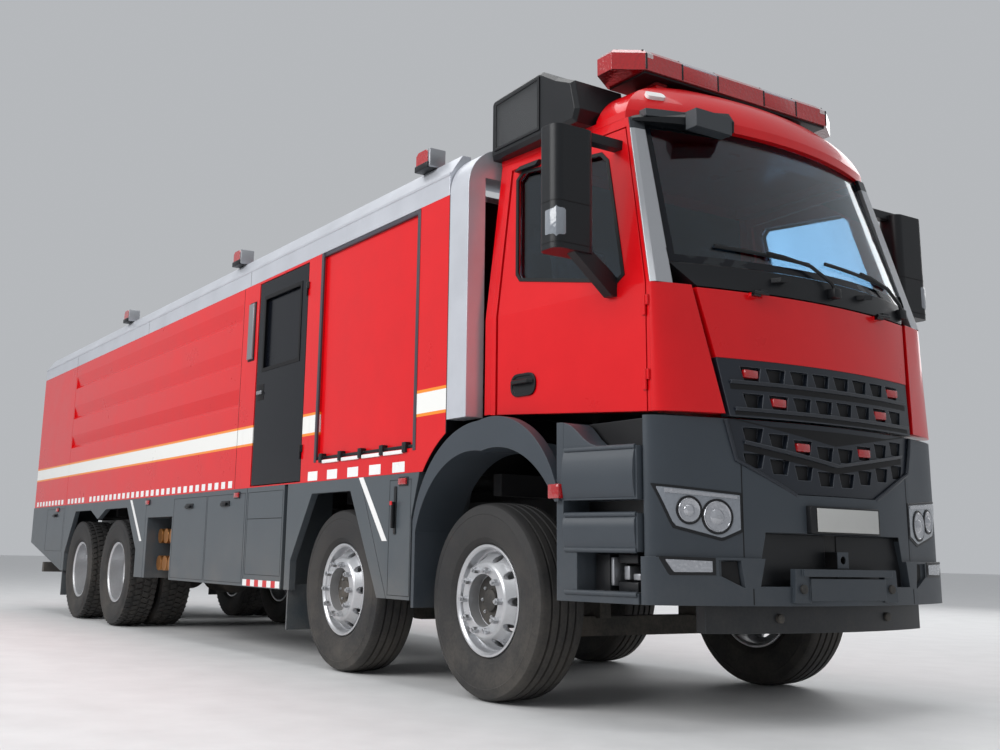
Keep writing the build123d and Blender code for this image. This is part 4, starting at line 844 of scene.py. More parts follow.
@dataclass
class Wheel:
    """One wheel station: its tyres with their tread, its nuts and its hub end."""

    axle: int
    x: float
    side: Side
    track: float
    twin: bool
    radius: float = 0.530
    half_width: float = 0.155
    seat: float = 0.2865
    hub_z: float = 0.530
    groove: float = 0.014
    twin_step: float = 0.350

    @property
    def body(self) -> str:
        """Name of the wheel's body."""
        return self.side.tag(f"wheel_{self.axle}")

    @property
    def hub_face(self) -> float:
        """Distance of the hub's end outboard of the wheel's centre."""
        return 0.160 if self.twin else 0.080

    def place(self, offset: float = 0.0) -> Matrix:
        """Frame at the wheel's centre, with local Y outboard.

        Args:
            offset: Shift of the frame outboard.

        Returns:
            The frame's matrix.
        """
        turn = Matrix.Identity(4) if self.side is Side.LEFT else Matrix.Rotation(math.pi, 4, "Z")
        return Matrix.Translation((self.x, self.side.value * (self.track + offset), self.hub_z)) @ turn

    def profile(self) -> list[Flat]:
        """Section of one tyre, with ribs in the sidewalls and grooves in a steered tyre's crown.

        Returns:
            Points of y and radius round the section.
        """
        half, top = self.half_width, self.radius
        wall = [(0.111, self.seat), (0.111, 0.302), (0.130, 0.318), (0.139, 0.335), (0.141, 0.337), (0.143, 0.345),
                (0.150, 0.372), (0.1545, 0.410), (0.1555, 0.440), (0.153, 0.462), (0.1555, 0.466), (0.152, 0.474),
                (0.148, 0.486), (0.1445, 0.500), (0.141, 0.512), (0.130, 0.520), (half - 0.04, top - 0.0065)]
        crown: list[Flat] = []
        if self.twin:
            wall = [(y, min(r, top - 0.017)) for y, r in wall]
        else:
            for middle in (0.078, 0.027, -0.027, -0.078):
                skin = top - 0.0045 * (middle / 0.115) ** 2 - 0.0005
                crown += [(middle + 0.008, skin), (middle + 0.005, skin - self.groove),
                          (middle - 0.005, skin - self.groove), (middle - 0.008, skin)]
        return wall + crown + [(-y, r) for y, r in reversed(wall)]

    def tyre(self) -> None:
        """Builds the station's tyres and sets them in place of the plain ones."""
        form = Form()
        offsets = (self.twin_step / 2, -self.twin_step / 2) if self.twin else (0.0,)
        for offset in offsets:
            form.lathe(self.profile(), 96, self.place(offset))
        meshes = [form.to_mesh("rings")]
        rows = ((0.112, 0.050, 0.42, 0.0, 0.004), (0.038, 0.058, 0.30, 0.5, 0.0015),
                (-0.038, 0.058, -0.30, 0.0, 0.0015), (-0.112, 0.050, -0.42, 0.5, 0.004))
        for offset in offsets if self.twin else ():
            for shift, width, skew, phase, drop in rows:
                lugs = PATTERNS.lugs.mesh("lugs", RUBBER, Count=54, Ring=self.radius - 0.0125 - drop, Offset=shift,
                                          Block=(0.045, width, 0.020), Phase=phase, Skew=skew)
                lugs.transform(self.place(offset))
                meshes.append(lugs)
        name = self.side.tag(f"{'tyres' if self.twin else 'tyre'}_{self.axle}")
        piece = settle(f"treaded_{name}", join_meshes(name, meshes), RUBBER, self.body, 0.5)
        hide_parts(name)

    def nuts(self) -> None:
        """Builds the ring of wheel nuts and the hub's own small bolts."""
        face = 0.022 if self.twin else 0.148
        ring = PATTERNS.nuts.mesh("nuts", NUT, Count=10, Ring=0.1675, Nut=0.019, Height=0.034)
        ring.transform(self.place() @ Matrix.Translation((0.0, face + 0.015, 0.0)))
        cap = PATTERNS.nuts.mesh("cap", NUT, Count=8, Ring=0.088, Nut=0.010, Height=0.014)
        cap.transform(self.place() @ Matrix.Translation((0.0, self.hub_face + 0.005, 0.0)))
        mesh = join_meshes("wheel_nuts", [ring, cap])
        settle(self.side.tag(f"wheel_nuts_{self.axle}"), mesh, NUT, self.body, smooth=0.4)

    def hub(self) -> None:
        """Builds the dark hub end in the wheel's centre."""
        face, rim = self.hub_face, 0.110 if self.twin else 0.138
        profile = [(face - 0.001, 0.0), (face - 0.001, rim), (face + 0.004, rim - 0.002), (face + 0.004, 0.062),
                   (face + 0.022, 0.058), (face + 0.026, 0.050), (face + 0.026, 0.0)]
        form = Form().lathe(profile, 48, self.place())
        form.settle(self.side.tag(f"hub_end_{self.axle}"), CASTING, self.body, 0.5)

    def build(self) -> None:
        """Builds every piece of the station."""
        self.tyre()
        self.nuts()
        self.hub()


@dataclass
class CabSide:
    """Seals, handle, mirror lens and small fittings of one cab door."""

    side: Side
    back: float = 4.310
    front: float = 5.588
    half: float = 1.150
    taper: float = 0.100
    lean: float = 0.110
    waist: float = 2.105
    eaves: float = 3.060
    door_front: float = 5.560
    door_rear: float = 4.410
    handle_spot: Flat = (4.656, 1.690)
    mirror_spot: Flat = (5.310, 1.3418)

    @property
    def body(self) -> str:
        """Name of the door's body."""
        return f"{self.side.word}_cab_door"

    def skin(self, x: float, z: float, out: float = 0.0) -> Point:
        """Gives a point on the door's skin.

        Args:
            x: Station along the vehicle.
            z: Height.
            out: Distance outside the skin.

        Returns:
            The point.
        """
        half = self.half - self.taper * (x - self.back) / (self.front - self.back)
        half -= self.lean * max(0.0, z - self.waist) / (self.eaves - self.waist)
        return x, self.side.value * (half + out), z

    def window(self, by: float) -> list[Point]:
        """Gives the outline of the window, just under the skin.

        Args:
            by: Distance that the outline is drawn outwards.

        Returns:
            The outline's points.
        """
        low, high, front, rear = self.waist + 0.04, self.eaves - 0.16, self.door_front - 0.15, self.door_rear
        top = front - (high - self.waist) * 0.25
        loop = [(rear + 0.150, low + 0.190), (rear + 0.185, low + 0.150), (front - 0.040, low), (front, low + 0.030),
                (top + 0.015, high - 0.055), (top - 0.040, high), (rear + 0.110, high + 0.070),
                (rear + 0.065, high + 0.030)]
        return [self.skin(x, z, -0.004) for x, z in offset_loop(loop, by)]

    def seal(self) -> None:
        """Sets the rubber seal round the window, half over the skin."""
        form = Form().ring(self.window(0.008), self.window(-0.012), self.side.out(0.009))
        form.settle(self.side.tag("window_seal"), SEAL, self.body)

    def handle(self) -> None:
        """Sets the door handle in its dark cup."""
        x, z = self.handle_spot
        rim = rounded(0.204, 0.126, 0.053)
        cup, outer, inner = ([self.skin(x + u, z + v) for u, v in loop] for loop in (
            rounded(0.190, 0.112, 0.046), rim, offset_loop(rim, -0.014)))
        grip = [self.skin(along, 1.705, out) for along, out in (
            (4.575, 0.006), (4.590, 0.024), (4.720, 0.026), (4.735, 0.006))]
        form = Form().plate(cup, self.side.out(0.004)).ring(outer, inner, self.side.out(0.010))
        form.tube(grip, 0.014, 10).settle(self.side.tag("door_handle"), BLACK, self.body)

    def deflector(self) -> None:
        """Sets the small rain deflector over the window's rear top corner."""
        outline = [self.skin(x, z, -0.002) for x, z in (
            (4.475, 2.975), (4.520, 2.998), (4.690, 2.998), (4.660, 2.972))]
        form = Form().plate(outline, self.side.out(0.035))
        form.settle(self.side.tag("rain_deflector"), BLACK, self.body)

    def mirror(self) -> None:
        """Sets the mirror's lamp lens, its seams and the glass on its back."""
        out = self.side.value
        blocks(self.side.tag("mirror_lamp"), SMOKE, [((5.262, out * 1.474, 2.295), (5.389, out * 1.372, 2.500))],
               0.044, self.body)
        blocks(self.side.tag("mirror_glass"), CHROME, [
            ((5.233, out * 1.245, low), (5.2365, out * 1.440, high)) for low, high in ((2.50, 2.87), (2.30, 2.47))],
            0.001, self.body)
        x, y = self.mirror_spot
        form = Form()
        for z in (2.505, 2.290):
            outer, inner = ([(x + u, out * y + v, z) for u, v in loop] for loop in (
                rounded(0.153, 0.263, 0.051), rounded(0.146, 0.256, 0.048)))
            form.ring(outer, inner, (0.0, 0.0, 0.005))
        form.settle(self.side.tag("mirror_seams"), SEAL, self.body)

    def build(self) -> None:
        """Builds every fitting of the door."""
        self.seal()
        self.handle()
        self.deflector()
        self.mirror()


@dataclass
class CabFront:
    """Wipers, nozzles, lamps and edges on the cab's front, and the light bar's parts."""

    low: float = 2.225
    eaves: float = 3.060
    crowns: Flat = (5.760, 5.484)
    sags: Flat = (0.170, 0.140)
    halves: Flat = (0.925, 0.870)
    pitch: float = 0.155
    bar_x: float = 5.100
    bar_low: float = 3.415
    lower_crown: float = 5.808
    lower_sag: float = 0.086
    lower_half: float = 0.720
    lower_rise: float = 0.105
    intake_y: float = -1.108

    def glass(self, y: float, z: float, out: float = 0.0) -> Point:
        """Gives a point on the windscreen.

        Args:
            y: Distance left of the centre line.
            z: Height.
            out: Distance in front of the glass.

        Returns:
            The point.
        """
        share = (z - self.low) / (self.eaves - self.low)
        crown, sag, half = (pair[0] + share * (pair[1] - pair[0]) for pair in (self.crowns, self.sags, self.halves))
        return crown - sag * (y / half) ** 2 + out, y, z

    def wipers(self) -> None:
        """Sets the two wipers at rest, low on the glass."""
        form = Form()
        for start, end, root in ((-0.66, -0.06, 0.08), (0.08, 0.70, 0.80)):
            middle = (start + end) / 2
            form.tube([self.glass(start + share * (end - start), 2.335 - 0.028 * share, 0.013) for share in (
                0.0, 0.2, 0.4, 0.6, 0.8, 1.0)], 0.011, 6)
            form.tube([self.glass(*spot) for spot in (
                (middle, 2.330, 0.026), (middle + 0.1, 2.318, 0.034), ((middle + root) / 2 + 0.06, 2.29, 0.036),
                (root - 0.03, 2.215, 0.034), (root, 2.165, 0.022))], 0.010, 6)
            hub = self.glass(root, 2.165)[0]
            form.block((hub - 0.03, root - 0.028, 2.135), (hub + 0.034, root + 0.028, 2.190), 0.008)
        form.settle("wipers", BLACK)

    def nozzles(self) -> None:
        """Sets the two washer nozzles on the scuttle."""
        form = Form()
        for y in (-0.30, 0.36):
            x = self.glass(y, 2.185)[0]
            form.plate([(x - 0.03, y - 0.055, 2.170), (x + 0.035, y - 0.035, 2.166), (x + 0.035, y + 0.035, 2.172),
                        (x - 0.03, y + 0.045, 2.185)], (0.006, 0.0, 0.024))
        form.settle("washer_nozzles", BLACK)

    def glass_edge(self) -> None:
        """Sets the dark band round the windscreen's edge."""
        corners = ((-1, 0), (1, 0), (1, 1), (-1, 1))
        outer, inner = [], []
        for (u0, v0), (u1, v1) in zip(corners, corners[1:] + corners[:1]):
            for share in (step / 12 for step in range(12)):
                u, v = u0 + share * (u1 - u0), v0 + share * (v1 - v0)
                for loop, trim in ((outer, 0.002), (inner, 0.045)):
                    z = self.low + trim + v * (self.eaves - self.low - 2 * trim)
                    half = self.halves[0] + (self.halves[1] - self.halves[0]) * v - trim
                    loop.append(self.glass(u * half, z, 0.0006))
        Form().ring(outer, inner, (0.0012, 0.0, 0.0)).settle("windscreen_edge", GLOSS_BLACK)

    def grille_inserts(self) -> None:
        """Sets the small red lamps in the grilles' pockets and dark plates at the pockets' backs, which paint the shade
        in the pockets.
        """
        lower = (self.lower_crown, self.lower_sag, self.lower_half)
        first, second = (5.805, 0.080, 0.715), (5.817, 0.075, 0.700)
        lamps = (("front_flap", 3.5, 1.672, first), ("front_flap", 2.5, 1.537, second), ("chassis", 1.5, 1.326, lower))
        for row, (body, place, z, (crown, sag, half)) in enumerate(lamps, 1):
            boxes = []
            for y in (side.value * place * self.pitch for side in Side):
                x = crown - sag * (y / half) ** 2
                boxes.append(((x - 0.022, y - 0.047, z - 0.020), (x + 0.006, y + 0.047, z + 0.022)))
            blocks(f"grille_lamps_{row}", RED_LENS, boxes, 0.007, body)
        # Dark plates at the backs of the pockets: painted shade.
        rows = {"front_flap": ((1.670, first, 0.0), (1.535, second, 0.0)),
                "chassis": ((1.290, lower, self.lower_rise), (1.165, lower, self.lower_rise))}
        for body, pockets in rows.items():
            boxes = []
            for z, (crown, sag, half), rise in pockets:
                for y in (self.pitch * (step - 3.5) for step in range(8)):
                    x, level = crown - sag * (y / half) ** 2, z + rise * abs(y) / half
                    boxes.append(((x - 0.026, y - 0.042, level - 0.031), (x - 0.019, y + 0.042, level + 0.034)))
            blocks(f"grille_pockets_{body}", SEAL, boxes, 0.0, body)

    def grille_face(self, body: str, y: float, z: float) -> float:
        """Gives the X of a grille's face.

        Args:
            body: The body that carries the grille.
            y: Distance left of the centre line.
            z: Height.

        Returns:
            The X of the face.
        """
        if body == "chassis":
            return self.lower_crown - self.lower_sag * (y / self.lower_half) ** 2
        share = (z - 1.455) / 0.290
        return 5.825 - 0.027 * share - (0.072 + 0.014 * share) * (y / (0.690 + 0.043 * share)) ** 2

    def grille_bars(self) -> None:
        """Sets the lip below each row of pockets and thin dark sheets between the rows, which paint the shade of the
        recesses there.
        """
        rows = (("front_flap", 1.636, 1.577, 0.0, 0.672, True), ("front_flap", 1.501, 1.458, 0.0, 0.660, True),
                ("chassis", 1.256, 1.207, self.lower_rise, 0.600, True),
                ("chassis", 1.438, 1.347, self.lower_rise, 0.655, False))
        forms = {(body, kind): Form() for body in ("front_flap", "chassis") for kind in ("lips", "bands")}
        for body, high, low, rise, half, lipped in rows:
            # The lips are raised bars; the thin dark sheets below them are painted shade.
            bars = (("lips", high, high - 0.017, 0.016), ("bands", high - 0.019, low, 0.0012))
            for kind, top, foot, out in bars if lipped else bars[1:]:
                columns = []
                for y in (half * (step / 14 - 1) for step in range(29)):
                    lift = rise * abs(y) / self.lower_half
                    z0 = foot + lift
                    z1 = max(z0 + 0.006, top + lift if lipped else top)
                    x = self.grille_face(body, y, (z0 + z1) / 2)
                    columns.append([(x - 0.004, y, z0), (x + 0.5 * out, y, z0), (x + out, y, z1), (x - 0.004, y, z1)])
                forms[body, kind].loft(columns)
        line = ((0.704, 1.440), (0.690, 1.385), (0.652, 1.246), (0.560, 1.205), (0.430, 1.146), (0.300, 1.086))
        for side in Side:
            forms["chassis", "lips"].tube(
                [(self.grille_face("chassis", y, z) + 0.008, side.value * y, z) for y, z in line], 0.011)
        for (body, kind), form in forms.items():
            form.settle(f"grille_{kind}_{body}", GRILLE if kind == "lips" else SEAL, body)

    def light_bar(self) -> None:
        """Sets the light bar's dividers and lenses."""
        def box(reach: float, y: Flat, z: Flat) -> tuple[Point, Point]:
            """Gives a box about the bar's middle, with its heights over the bar's foot."""
            return (self.bar_x - reach, y[0], self.bar_low + z[0]), (self.bar_x + reach, y[1], self.bar_low + z[1])

        bright = ((-0.462, -0.198), (0.198, 0.462))
        clear = ((-0.73, -0.48), bright[0], (-0.18, 0.18), bright[1], (0.48, 0.73))
        dividers = [box(reach, (y - 0.006, y + 0.006), z) for y in (-0.74, -0.47, -0.19, 0.19, 0.47, 0.74)
                    for reach, z in ((0.167, (0.004, 0.101)), (0.137, (0.10, 0.1315)))]
        dividers.append(box(0.15, (-0.74, 0.74), (-0.012, 0.004)))
        blocks("light_bar_dividers", BLACK, dividers, 0.002)
        blocks("light_bar_clear_lenses", SMOKE, [box(0.13, y, (0.127, 0.1315)) for y in clear], 0.002)
        blocks("light_bar_bright_lenses", RED_LENS, [box(0.1665, y, (0.012, 0.094)) for y in bright], 0.002)

    def visor(self) -> None:
        """Sets the swept visor over the windscreen's kerb corner and the white roof lamp."""
        columns = []
        for share in (step / 20 for step in range(21)):
            y = -0.945 + 0.545 * share
            x = 3.066 + math.sqrt(2.460 ** 2 - y * y)
            out = 0.016 + 0.060 * math.sin(math.pi * min(1.0, 0.12 + share) / 2)
            low, high = 3.040 - 0.014 * share, 3.066 + 0.080 * share ** 0.7
            columns.append([(x - 0.055, y, low), (x + out, y, low), (x + out + 0.004, y, (low + high) / 2),
                            (x + 0.55 * out, y, high), (x - 0.055, y, high)])
        Form().loft(columns).settle("kerb_visor", BLACK)
        centre = Vector((5.345, -0.765, 3.215))
        along, up = Vector((0.25, 0.97, 0.0)).normalized(), Vector((-0.55, 0.10, 0.60)).normalized()
        lamp = Form().plate([centre + along * u + up * v for u, v in rounded(0.110, 0.055, 0.018)],
                            along.cross(up) * 0.022)
        lamp.settle("roof_marker_lamp", TAPE_WHITE)

    def intake_mesh(self) -> None:
        """Sets the mesh panel in the air intake's side, with its rim."""
        side = [(4.352, 3.150), (4.352, 3.418), (4.760, 3.440), (4.760, 3.150)]
        inner, outer = ([(x, self.intake_y, z) for x, z in loop] for loop in (side, offset_loop(side, 0.016)))
        Form().plate(inner, (0.0, -0.004, 0.0)).settle("intake_mesh", MESH)
        Form().ring(outer, inner, (0.0, -0.009, 0.0)).settle("intake_rim", BLACK)

    def build(self) -> None:
        """Builds every fitting of the front."""
        self.wipers()
        self.nozzles()
        self.glass_edge()
        self.grille_inserts()
        self.grille_bars()
        self.light_bar()
        self.visor()
        self.intake_mesh()


@dataclass
class BumperTrim:
    """Lamp bezels, reflectors, plate, step and seams on the bumper."""

    nose: float = 5.850
    rear: float = 5.565
    half: float = 1.112
    bend: float = 0.66
    sag: float = 0.085
    lamp_inset: float = 0.024

    def surface(self, y: float, inset: float) -> float:
        """Gives the bumper's foremost X at a distance from the centre line.

        Args:
            y: Distance from the centre line.
            inset: Inset of the band below its widest.

        Returns:
            The X of the surface.
        """
        y, tip, edge = abs(y), self.nose - inset, self.half - inset
        if y <= self.bend:
            radius = (self.bend ** 2 + self.sag ** 2) / (2 * self.sag)
            return tip - radius + math.sqrt(radius ** 2 - y ** 2)
        points = [(self.rear, edge), (self.rear + 0.065, edge - 0.002), (self.rear + 0.125 - inset, edge - 0.182),
                  (tip - self.sag, self.bend)]
        low, high = 0.0, 1.0
        for _ in range(30):
            t = (low + high) / 2
            weights = ((1 - t) ** 3, 3 * t * (1 - t) ** 2, 3 * t * t * (1 - t), t ** 3)
            here = sum(weight * point[1] for weight, point in zip(weights, points))
            low, high = (t, high) if here > y else (low, t)
        return sum(weight * point[0] for weight, point in zip(weights, points))

    def wrap(self, loop: Sequence[Flat], inset: float, out: float) -> list[Point]:
        """Lays an outline of y and z on a band of the bumper, at a distance before its surface."""
        return [(self.surface(y, inset) + out, y, z) for y, z in loop]

    def cover(self, form: Form, low: Sequence[Flat], high: Sequence[Flat], inset: float, out: Flat, side: Side) -> None:
        """Adds a closed skin on the bumper between a lower and an upper line.

        Args:
            form: The form to add to.
            low: Corner points of the lower line, in y and z.
            high: Corner points of the upper line.
            inset: Inset of the band.
            out: Distances of its back and its front before the surface.
            side: The side it is on.
        """
        def level(line: Sequence[Flat], y: float) -> float:
            """Reads a line's height at a distance from the middle."""
            for (y0, z0), (y1, z1) in zip(line, line[1:]):
                if y <= y1:
                    return z0 + (z1 - z0) * (y - y0) / (y1 - y0)
            return line[-1][1]

        start, end = low[0][0], low[-1][0]
        columns = []
        for y in (start + (end - start) * step / 24 for step in range(25)):
            x, foot, top = self.surface(y, inset), level(low, y), level(high, y)
            columns.append([(x + depth, side.value * y, z) for depth, z in (
                (out[0], foot), (out[1], foot), (out[1], top), (out[0], top))])
        form.loft(columns)

    def disc(self, form: Form, y: float, z: float, profile: Sequence[Flat], side: Side) -> None:
        """Adds a round piece that faces out of the bumper.

        Args:
            form: The form to add to.
            y: Distance of its middle from the centre line.
            z: Its height.
            profile: Depths and radii of its section.
            side: The side it is on.
        """
        inset = self.lamp_inset
        slope = (self.surface(y + 0.01, inset) - self.surface(y - 0.01, inset)) / 0.02
        turn = Matrix.Rotation(-math.pi / 2 - side.value * math.atan(slope), 4, "Z")
        form.lathe(profile, 32, Matrix.Translation((self.surface(y, inset), side.value * y, z)) @ turn)

    def lamps(self) -> None:
        """Sets the head and fog lamps: bezel, dark housing, reflectors and lamp strips."""
        bezel, housing, bright = Form(), Form(), Form()
        inset = self.lamp_inset
        covers = (
            (bezel, ((0.630, 0.902), (0.735, 0.858), (0.985, 0.915), (1.072, 1.116)),
             ((0.630, 1.088), (1.072, 1.120)), inset, (-0.030, 0.003)),
            (housing, ((0.642, 0.914), (0.738, 0.873), (0.976, 0.927), (1.052, 1.098)),
             ((0.642, 1.076), (1.052, 1.106)), inset, (-0.010, 0.006)),
            (bright, ((0.655, 1.058), (1.020, 1.078)), ((0.655, 1.072), (1.020, 1.099)), inset, (0.002, 0.009)),
            (bezel, ((0.792, 0.700), (1.016, 0.698), (1.056, 0.774)), ((0.792, 0.780), (1.056, 0.784)), 0.0,
             (-0.020, 0.002)),
            (bright, ((0.812, 0.714), (0.996, 0.712), (1.030, 0.764)), ((0.812, 0.764), (1.030, 0.770)), 0.0,
             (-0.010, 0.006)))
        for side in Side:
            for cover in covers:
                self.cover(*cover, side)
            for y, z, radius in ((0.902, 0.999, 0.058), (0.760, 0.972, 0.074)):
                self.disc(bright, y, z, [
                    (-0.020, 0.0), (-0.020, radius), (0.010, radius), (0.014, radius - 0.004), (0.009, radius - 0.010),
                    (0.007, 0.5 * radius), (0.016, 0.36 * radius), (0.020, 0.2 * radius), (0.021, 0.0)], side)
                self.disc(bezel, y, z, [(-0.020, radius + 0.001), (-0.020, radius + 0.010), (0.010, radius + 0.010),
                                        (0.012, radius + 0.001)], side)
        bezel.settle("lamp_bezels", BLACK)
        housing.settle("lamp_housings", SMOKE)
        bright.settle("lamp_reflectors", LED)

    def seams(self) -> None:
        """Sets the dark seams between the bumper's sections and dark plates deep in its corner intakes, which paint the
        shade there.
        """
        form, line = Form(), 0.0025
        for out in (-1, 1):
            for y, low, high, inset in ((0.625, 0.785, 1.245, self.lamp_inset), (0.600, 0.565, 0.640, 0.0)):
                near, far = out * (y - line), out * (y + line)
                form.plate(self.wrap([(near, low), (far, low), (far, high), (near, high)], inset, -0.002),
                           (0.0030, 0.0, 0.0))
            # Dark plate deep in the corner intake: painted shade.
            intake_shade = [(out * y, z) for y, z in ((0.654, 0.652), (0.667, 0.764), (0.769, 0.764), (0.769, 0.704))]
            form.plate(self.wrap(intake_shade, 0.0, -0.024), (0.004, 0.0, 0.0))
        form.settle("bumper_seams", SEAL)

    def middle(self) -> None:
        """Sets the blank plate, the dark panel, the step flap and the tow covers."""
        blocks("front_plate", PLATE, [((5.846, -0.210, 0.915), (5.852, 0.250, 1.030))], 0.002)
        blocks("plate_holder", BLACK, [((5.800, -0.250, 0.905), (5.8455, 0.270, 1.040))], 0.004)
        blocks("intake_panel", BLACK, [((5.738, low, 0.652), (5.744, low + 0.500, 0.900)) for low in (-0.545, 0.045)])
        flap = Form()
        for y in (-0.330, 0.330):
            x = self.surface(y, 0.0) - 0.02
            flap.plate([(x, y - 0.055, 0.575), (x, y + 0.055, 0.575), (x, y + 0.045, 0.735), (x, y - 0.045, 0.735)],
                       (0.034, 0.0, 0.0))
        for half, low, high, thick in ((0.33, 0.700, 0.735, 0.044), (0.28, 0.585, 0.690, 0.040)):
            flap.plate([(5.812, -half, low), (5.812, half, low), (5.812, half, high), (5.812, -half, high)],
                       (thick, 0.0, 0.0))
        flap.settle("step_flap", BUMPER)
        knobs = Form()
        for y, z, x in ((-0.330, 0.640, 5.845), (0.330, 0.640, 5.845), (-0.40, 0.500, 5.755), (0.40, 0.500, 5.755)):
            knobs.lathe([(-0.02, 0.0), (-0.02, 0.022), (0.010, 0.022), (0.014, 0.016), (0.014, 0.0)], 20,
                        Matrix.Translation((x, y, z)) @ FACE_FORWARD)
        knobs.settle("tow_covers", CASTING)

    def build(self) -> None:
        """Builds every fitting of the bumper."""
        self.lamps()
        self.seams()
        self.middle()


@dataclass
class Flank:
    """Fittings of one side of the body: shutter, lockers, handles, lamps, tape and steps."""

    side: Side
    half: float = 1.250
    seam: float = 0.0035
    tape_y: float = 0.0004
    tape_thickness: float = 0.0012
    bar_pitch: float = 0.287

    def piece(self, name: str, finish: Finish, boxes: Iterable[tuple[Flat, Flat, Flat]], bevel: float = 0.0,
              body: str = "chassis", half: float | None = None) -> None:
        """Makes a piece of boxes on this side.

        Args:
            name: The piece's name without the side.
            finish: Its finish.
            boxes: Stations, distances outside the skin and heights of each box.
            bevel: Radius of the edges.
            body: The body that carries it.
            half: Distance of the skin from the centre line, if it isn't the body's.
        """
        skin = self.half if half is None else half
        blocks(self.side.tag(name), finish, [
            tuple((x[end], self.side.value * (skin + out[end]), z[end]) for end in (0, 1)) for x, out, z in boxes],
            bevel, body)

    def shutter(self) -> None:
        """Sets the shutter's guides and its lift bar."""
        self.piece("shutter_guides", GUIDE, [
            ((2.340, 2.374), (-0.012, 0.004), (1.385, 2.908)), ((3.696, 3.730), (-0.012, 0.004), (1.385, 2.908)),
            ((2.374, 3.696), (-0.026, -0.004), (2.880, 2.909))], 0.002)
        bar = [((2.376, 3.694), (-0.026, -0.006), (1.402, 1.424))]
        bar += [((x - 0.022, x + 0.022), (-0.028, 0.016), (1.378, 1.442)) for x in (
            2.46 + step * self.bar_pitch for step in range(5))]
        self.piece("lift_bar", BLACK, bar, 0.004)
        self.piece("lift_rods", TAPE_WHITE, [
            ((2.486 + shift, 2.725 + shift), (-0.002, 0.012), (1.372, 1.396)) for shift in (
                step * self.bar_pitch for step in range(4))], 0.004)

    def tape_run(self, finish: Finish, start: Flat, count: int, step: float, size: Flat) -> Mesh:
        """Makes a row of tape marks.

        Args:
            finish: The tape's finish.
            start: Station and height of the first mark.
            count: Number of marks.
            step: Distance between them.
            size: Length and height of a mark.

        Returns:
            The row's mesh.
        """
        y = self.side.value * (self.half + self.tape_y)
        return PATTERNS.row.mesh("tape", finish, Count=count, Start=(start[0], y, start[1]), Step=(step, 0.0, 0.0),
                                 Size=(size[0], self.tape_thickness, size[1]))

    def tape(self) -> None:
        """Lays the marker tape along the side."""
        low, small = 0.530, (0.076, 0.048)
        runs = ((-4.145, 5, 0.15, (0.082, 0.056)), (-3.240, 28, 0.15, (0.082, 0.056)),
                (2.330, 5, 0.30, (0.150, 0.064)), (-5.640, 9, 0.15, (0.082, 0.056)))
        meshes = [self.tape_run(TAPE_WHITE, (start, 1.292), *run) for start, *run in runs]
        meshes.append(self.tape_run(TAPE_WHITE, (1.21, low), 5, 0.152, small))
        settle(self.side.tag("white_tape"), join_meshes("tape", meshes), TAPE_WHITE, "chassis")
        red = self.tape_run(TAPE_RED, (1.286, low), 4, 0.152, small)
        settle(self.side.tag("red_tape"), red, TAPE_RED, "chassis")
        form, y, wide = Form(), self.side.value * (self.half + self.tape_y), 0.062
        for (x0, top), (x1, foot) in (((3.020, 1.250), (3.350, 0.845)), ((-1.800, 1.240), (-1.425, 0.840))):
            form.plate([(x0, y, top), (x0 + wide, y, top), (x1 + wide, y, foot), (x1, y, foot)],
                       self.side.out(self.tape_thickness))
        form.settle(self.side.tag("arch_tape"), TAPE_WHITE)

    def lockers(self) -> None:
        """Draws the locker doors' seams and sets their handles."""
        line, thin, lines = self.seam, (-0.001, 0.0008), []
        for x0, x1, z0 in ((3.430, 3.690, 0.520), (1.200, 1.850, 0.590), (-0.500, 0.310, 0.520), (0.330, 1.140, 0.520),
                           (-5.10, -4.32, 0.72)):
            z1 = 1.215
            lines += [((x0, x1), thin, (z0, z0 + line)), ((x0, x1), thin, (z1 - line, z1)),
                      ((x0, x0 + line), thin, (z0, z1)), ((x1 - line, x1), thin, (z0, z1))]
        lines += [((1.203, 1.847), thin, (1.008, 1.013)), ((0.905, 0.910), thin, (1.255, 2.905))]
        self.piece("panel_seams", SEAL, lines)
        handles = []
        for x, z, wide, high in ((3.505, 1.030, 0.016, 0.145), (-0.095, 1.140, 0.090, 0.022),
                                 (0.735, 1.140, 0.090, 0.022), (-4.70, 1.140, 0.090, 0.022)):
            handles += [((x - wide, x + wide), (-0.001, 0.007), (z - high, z + high)),
                        ((x - wide * 0.6, x + wide * 0.6), (0.006, 0.030), (z - high * 0.75, z + high * 0.35))]
        self.piece("locker_handles", BLACK, handles, 0.005)
        self.piece("handle_tabs", TAPE_RED, [((3.492, 3.518), (0.029, 0.036), (1.060, 1.085))], 0.002)

    def small_lamps(self) -> None:
        """Sets the small side lamps and the scene light beside the pump door."""
        for name, finish, reach, out, z, bevel in (
                ("side_markers", RED_LENS, 0.045, 0.018, (1.183, 1.222), 0.006),
                ("marker_feet", BLACK, 0.055, 0.006, (1.175, 1.230), 0.003)):
            self.piece(name, finish, [((x - reach, x + reach), (-0.002, out), z) for x in (3.60, 0.98, -1.23, -4.60)],
                       bevel)
        self.piece("scene_light", SATIN, [((1.055, 1.155), (-0.002, 0.022), (2.285, 2.745))], 0.006)
        self.piece("scene_light_frame", SEAL, [((1.043, 1.167), (-0.004, 0.006), (2.272, 2.758))], 0.003)

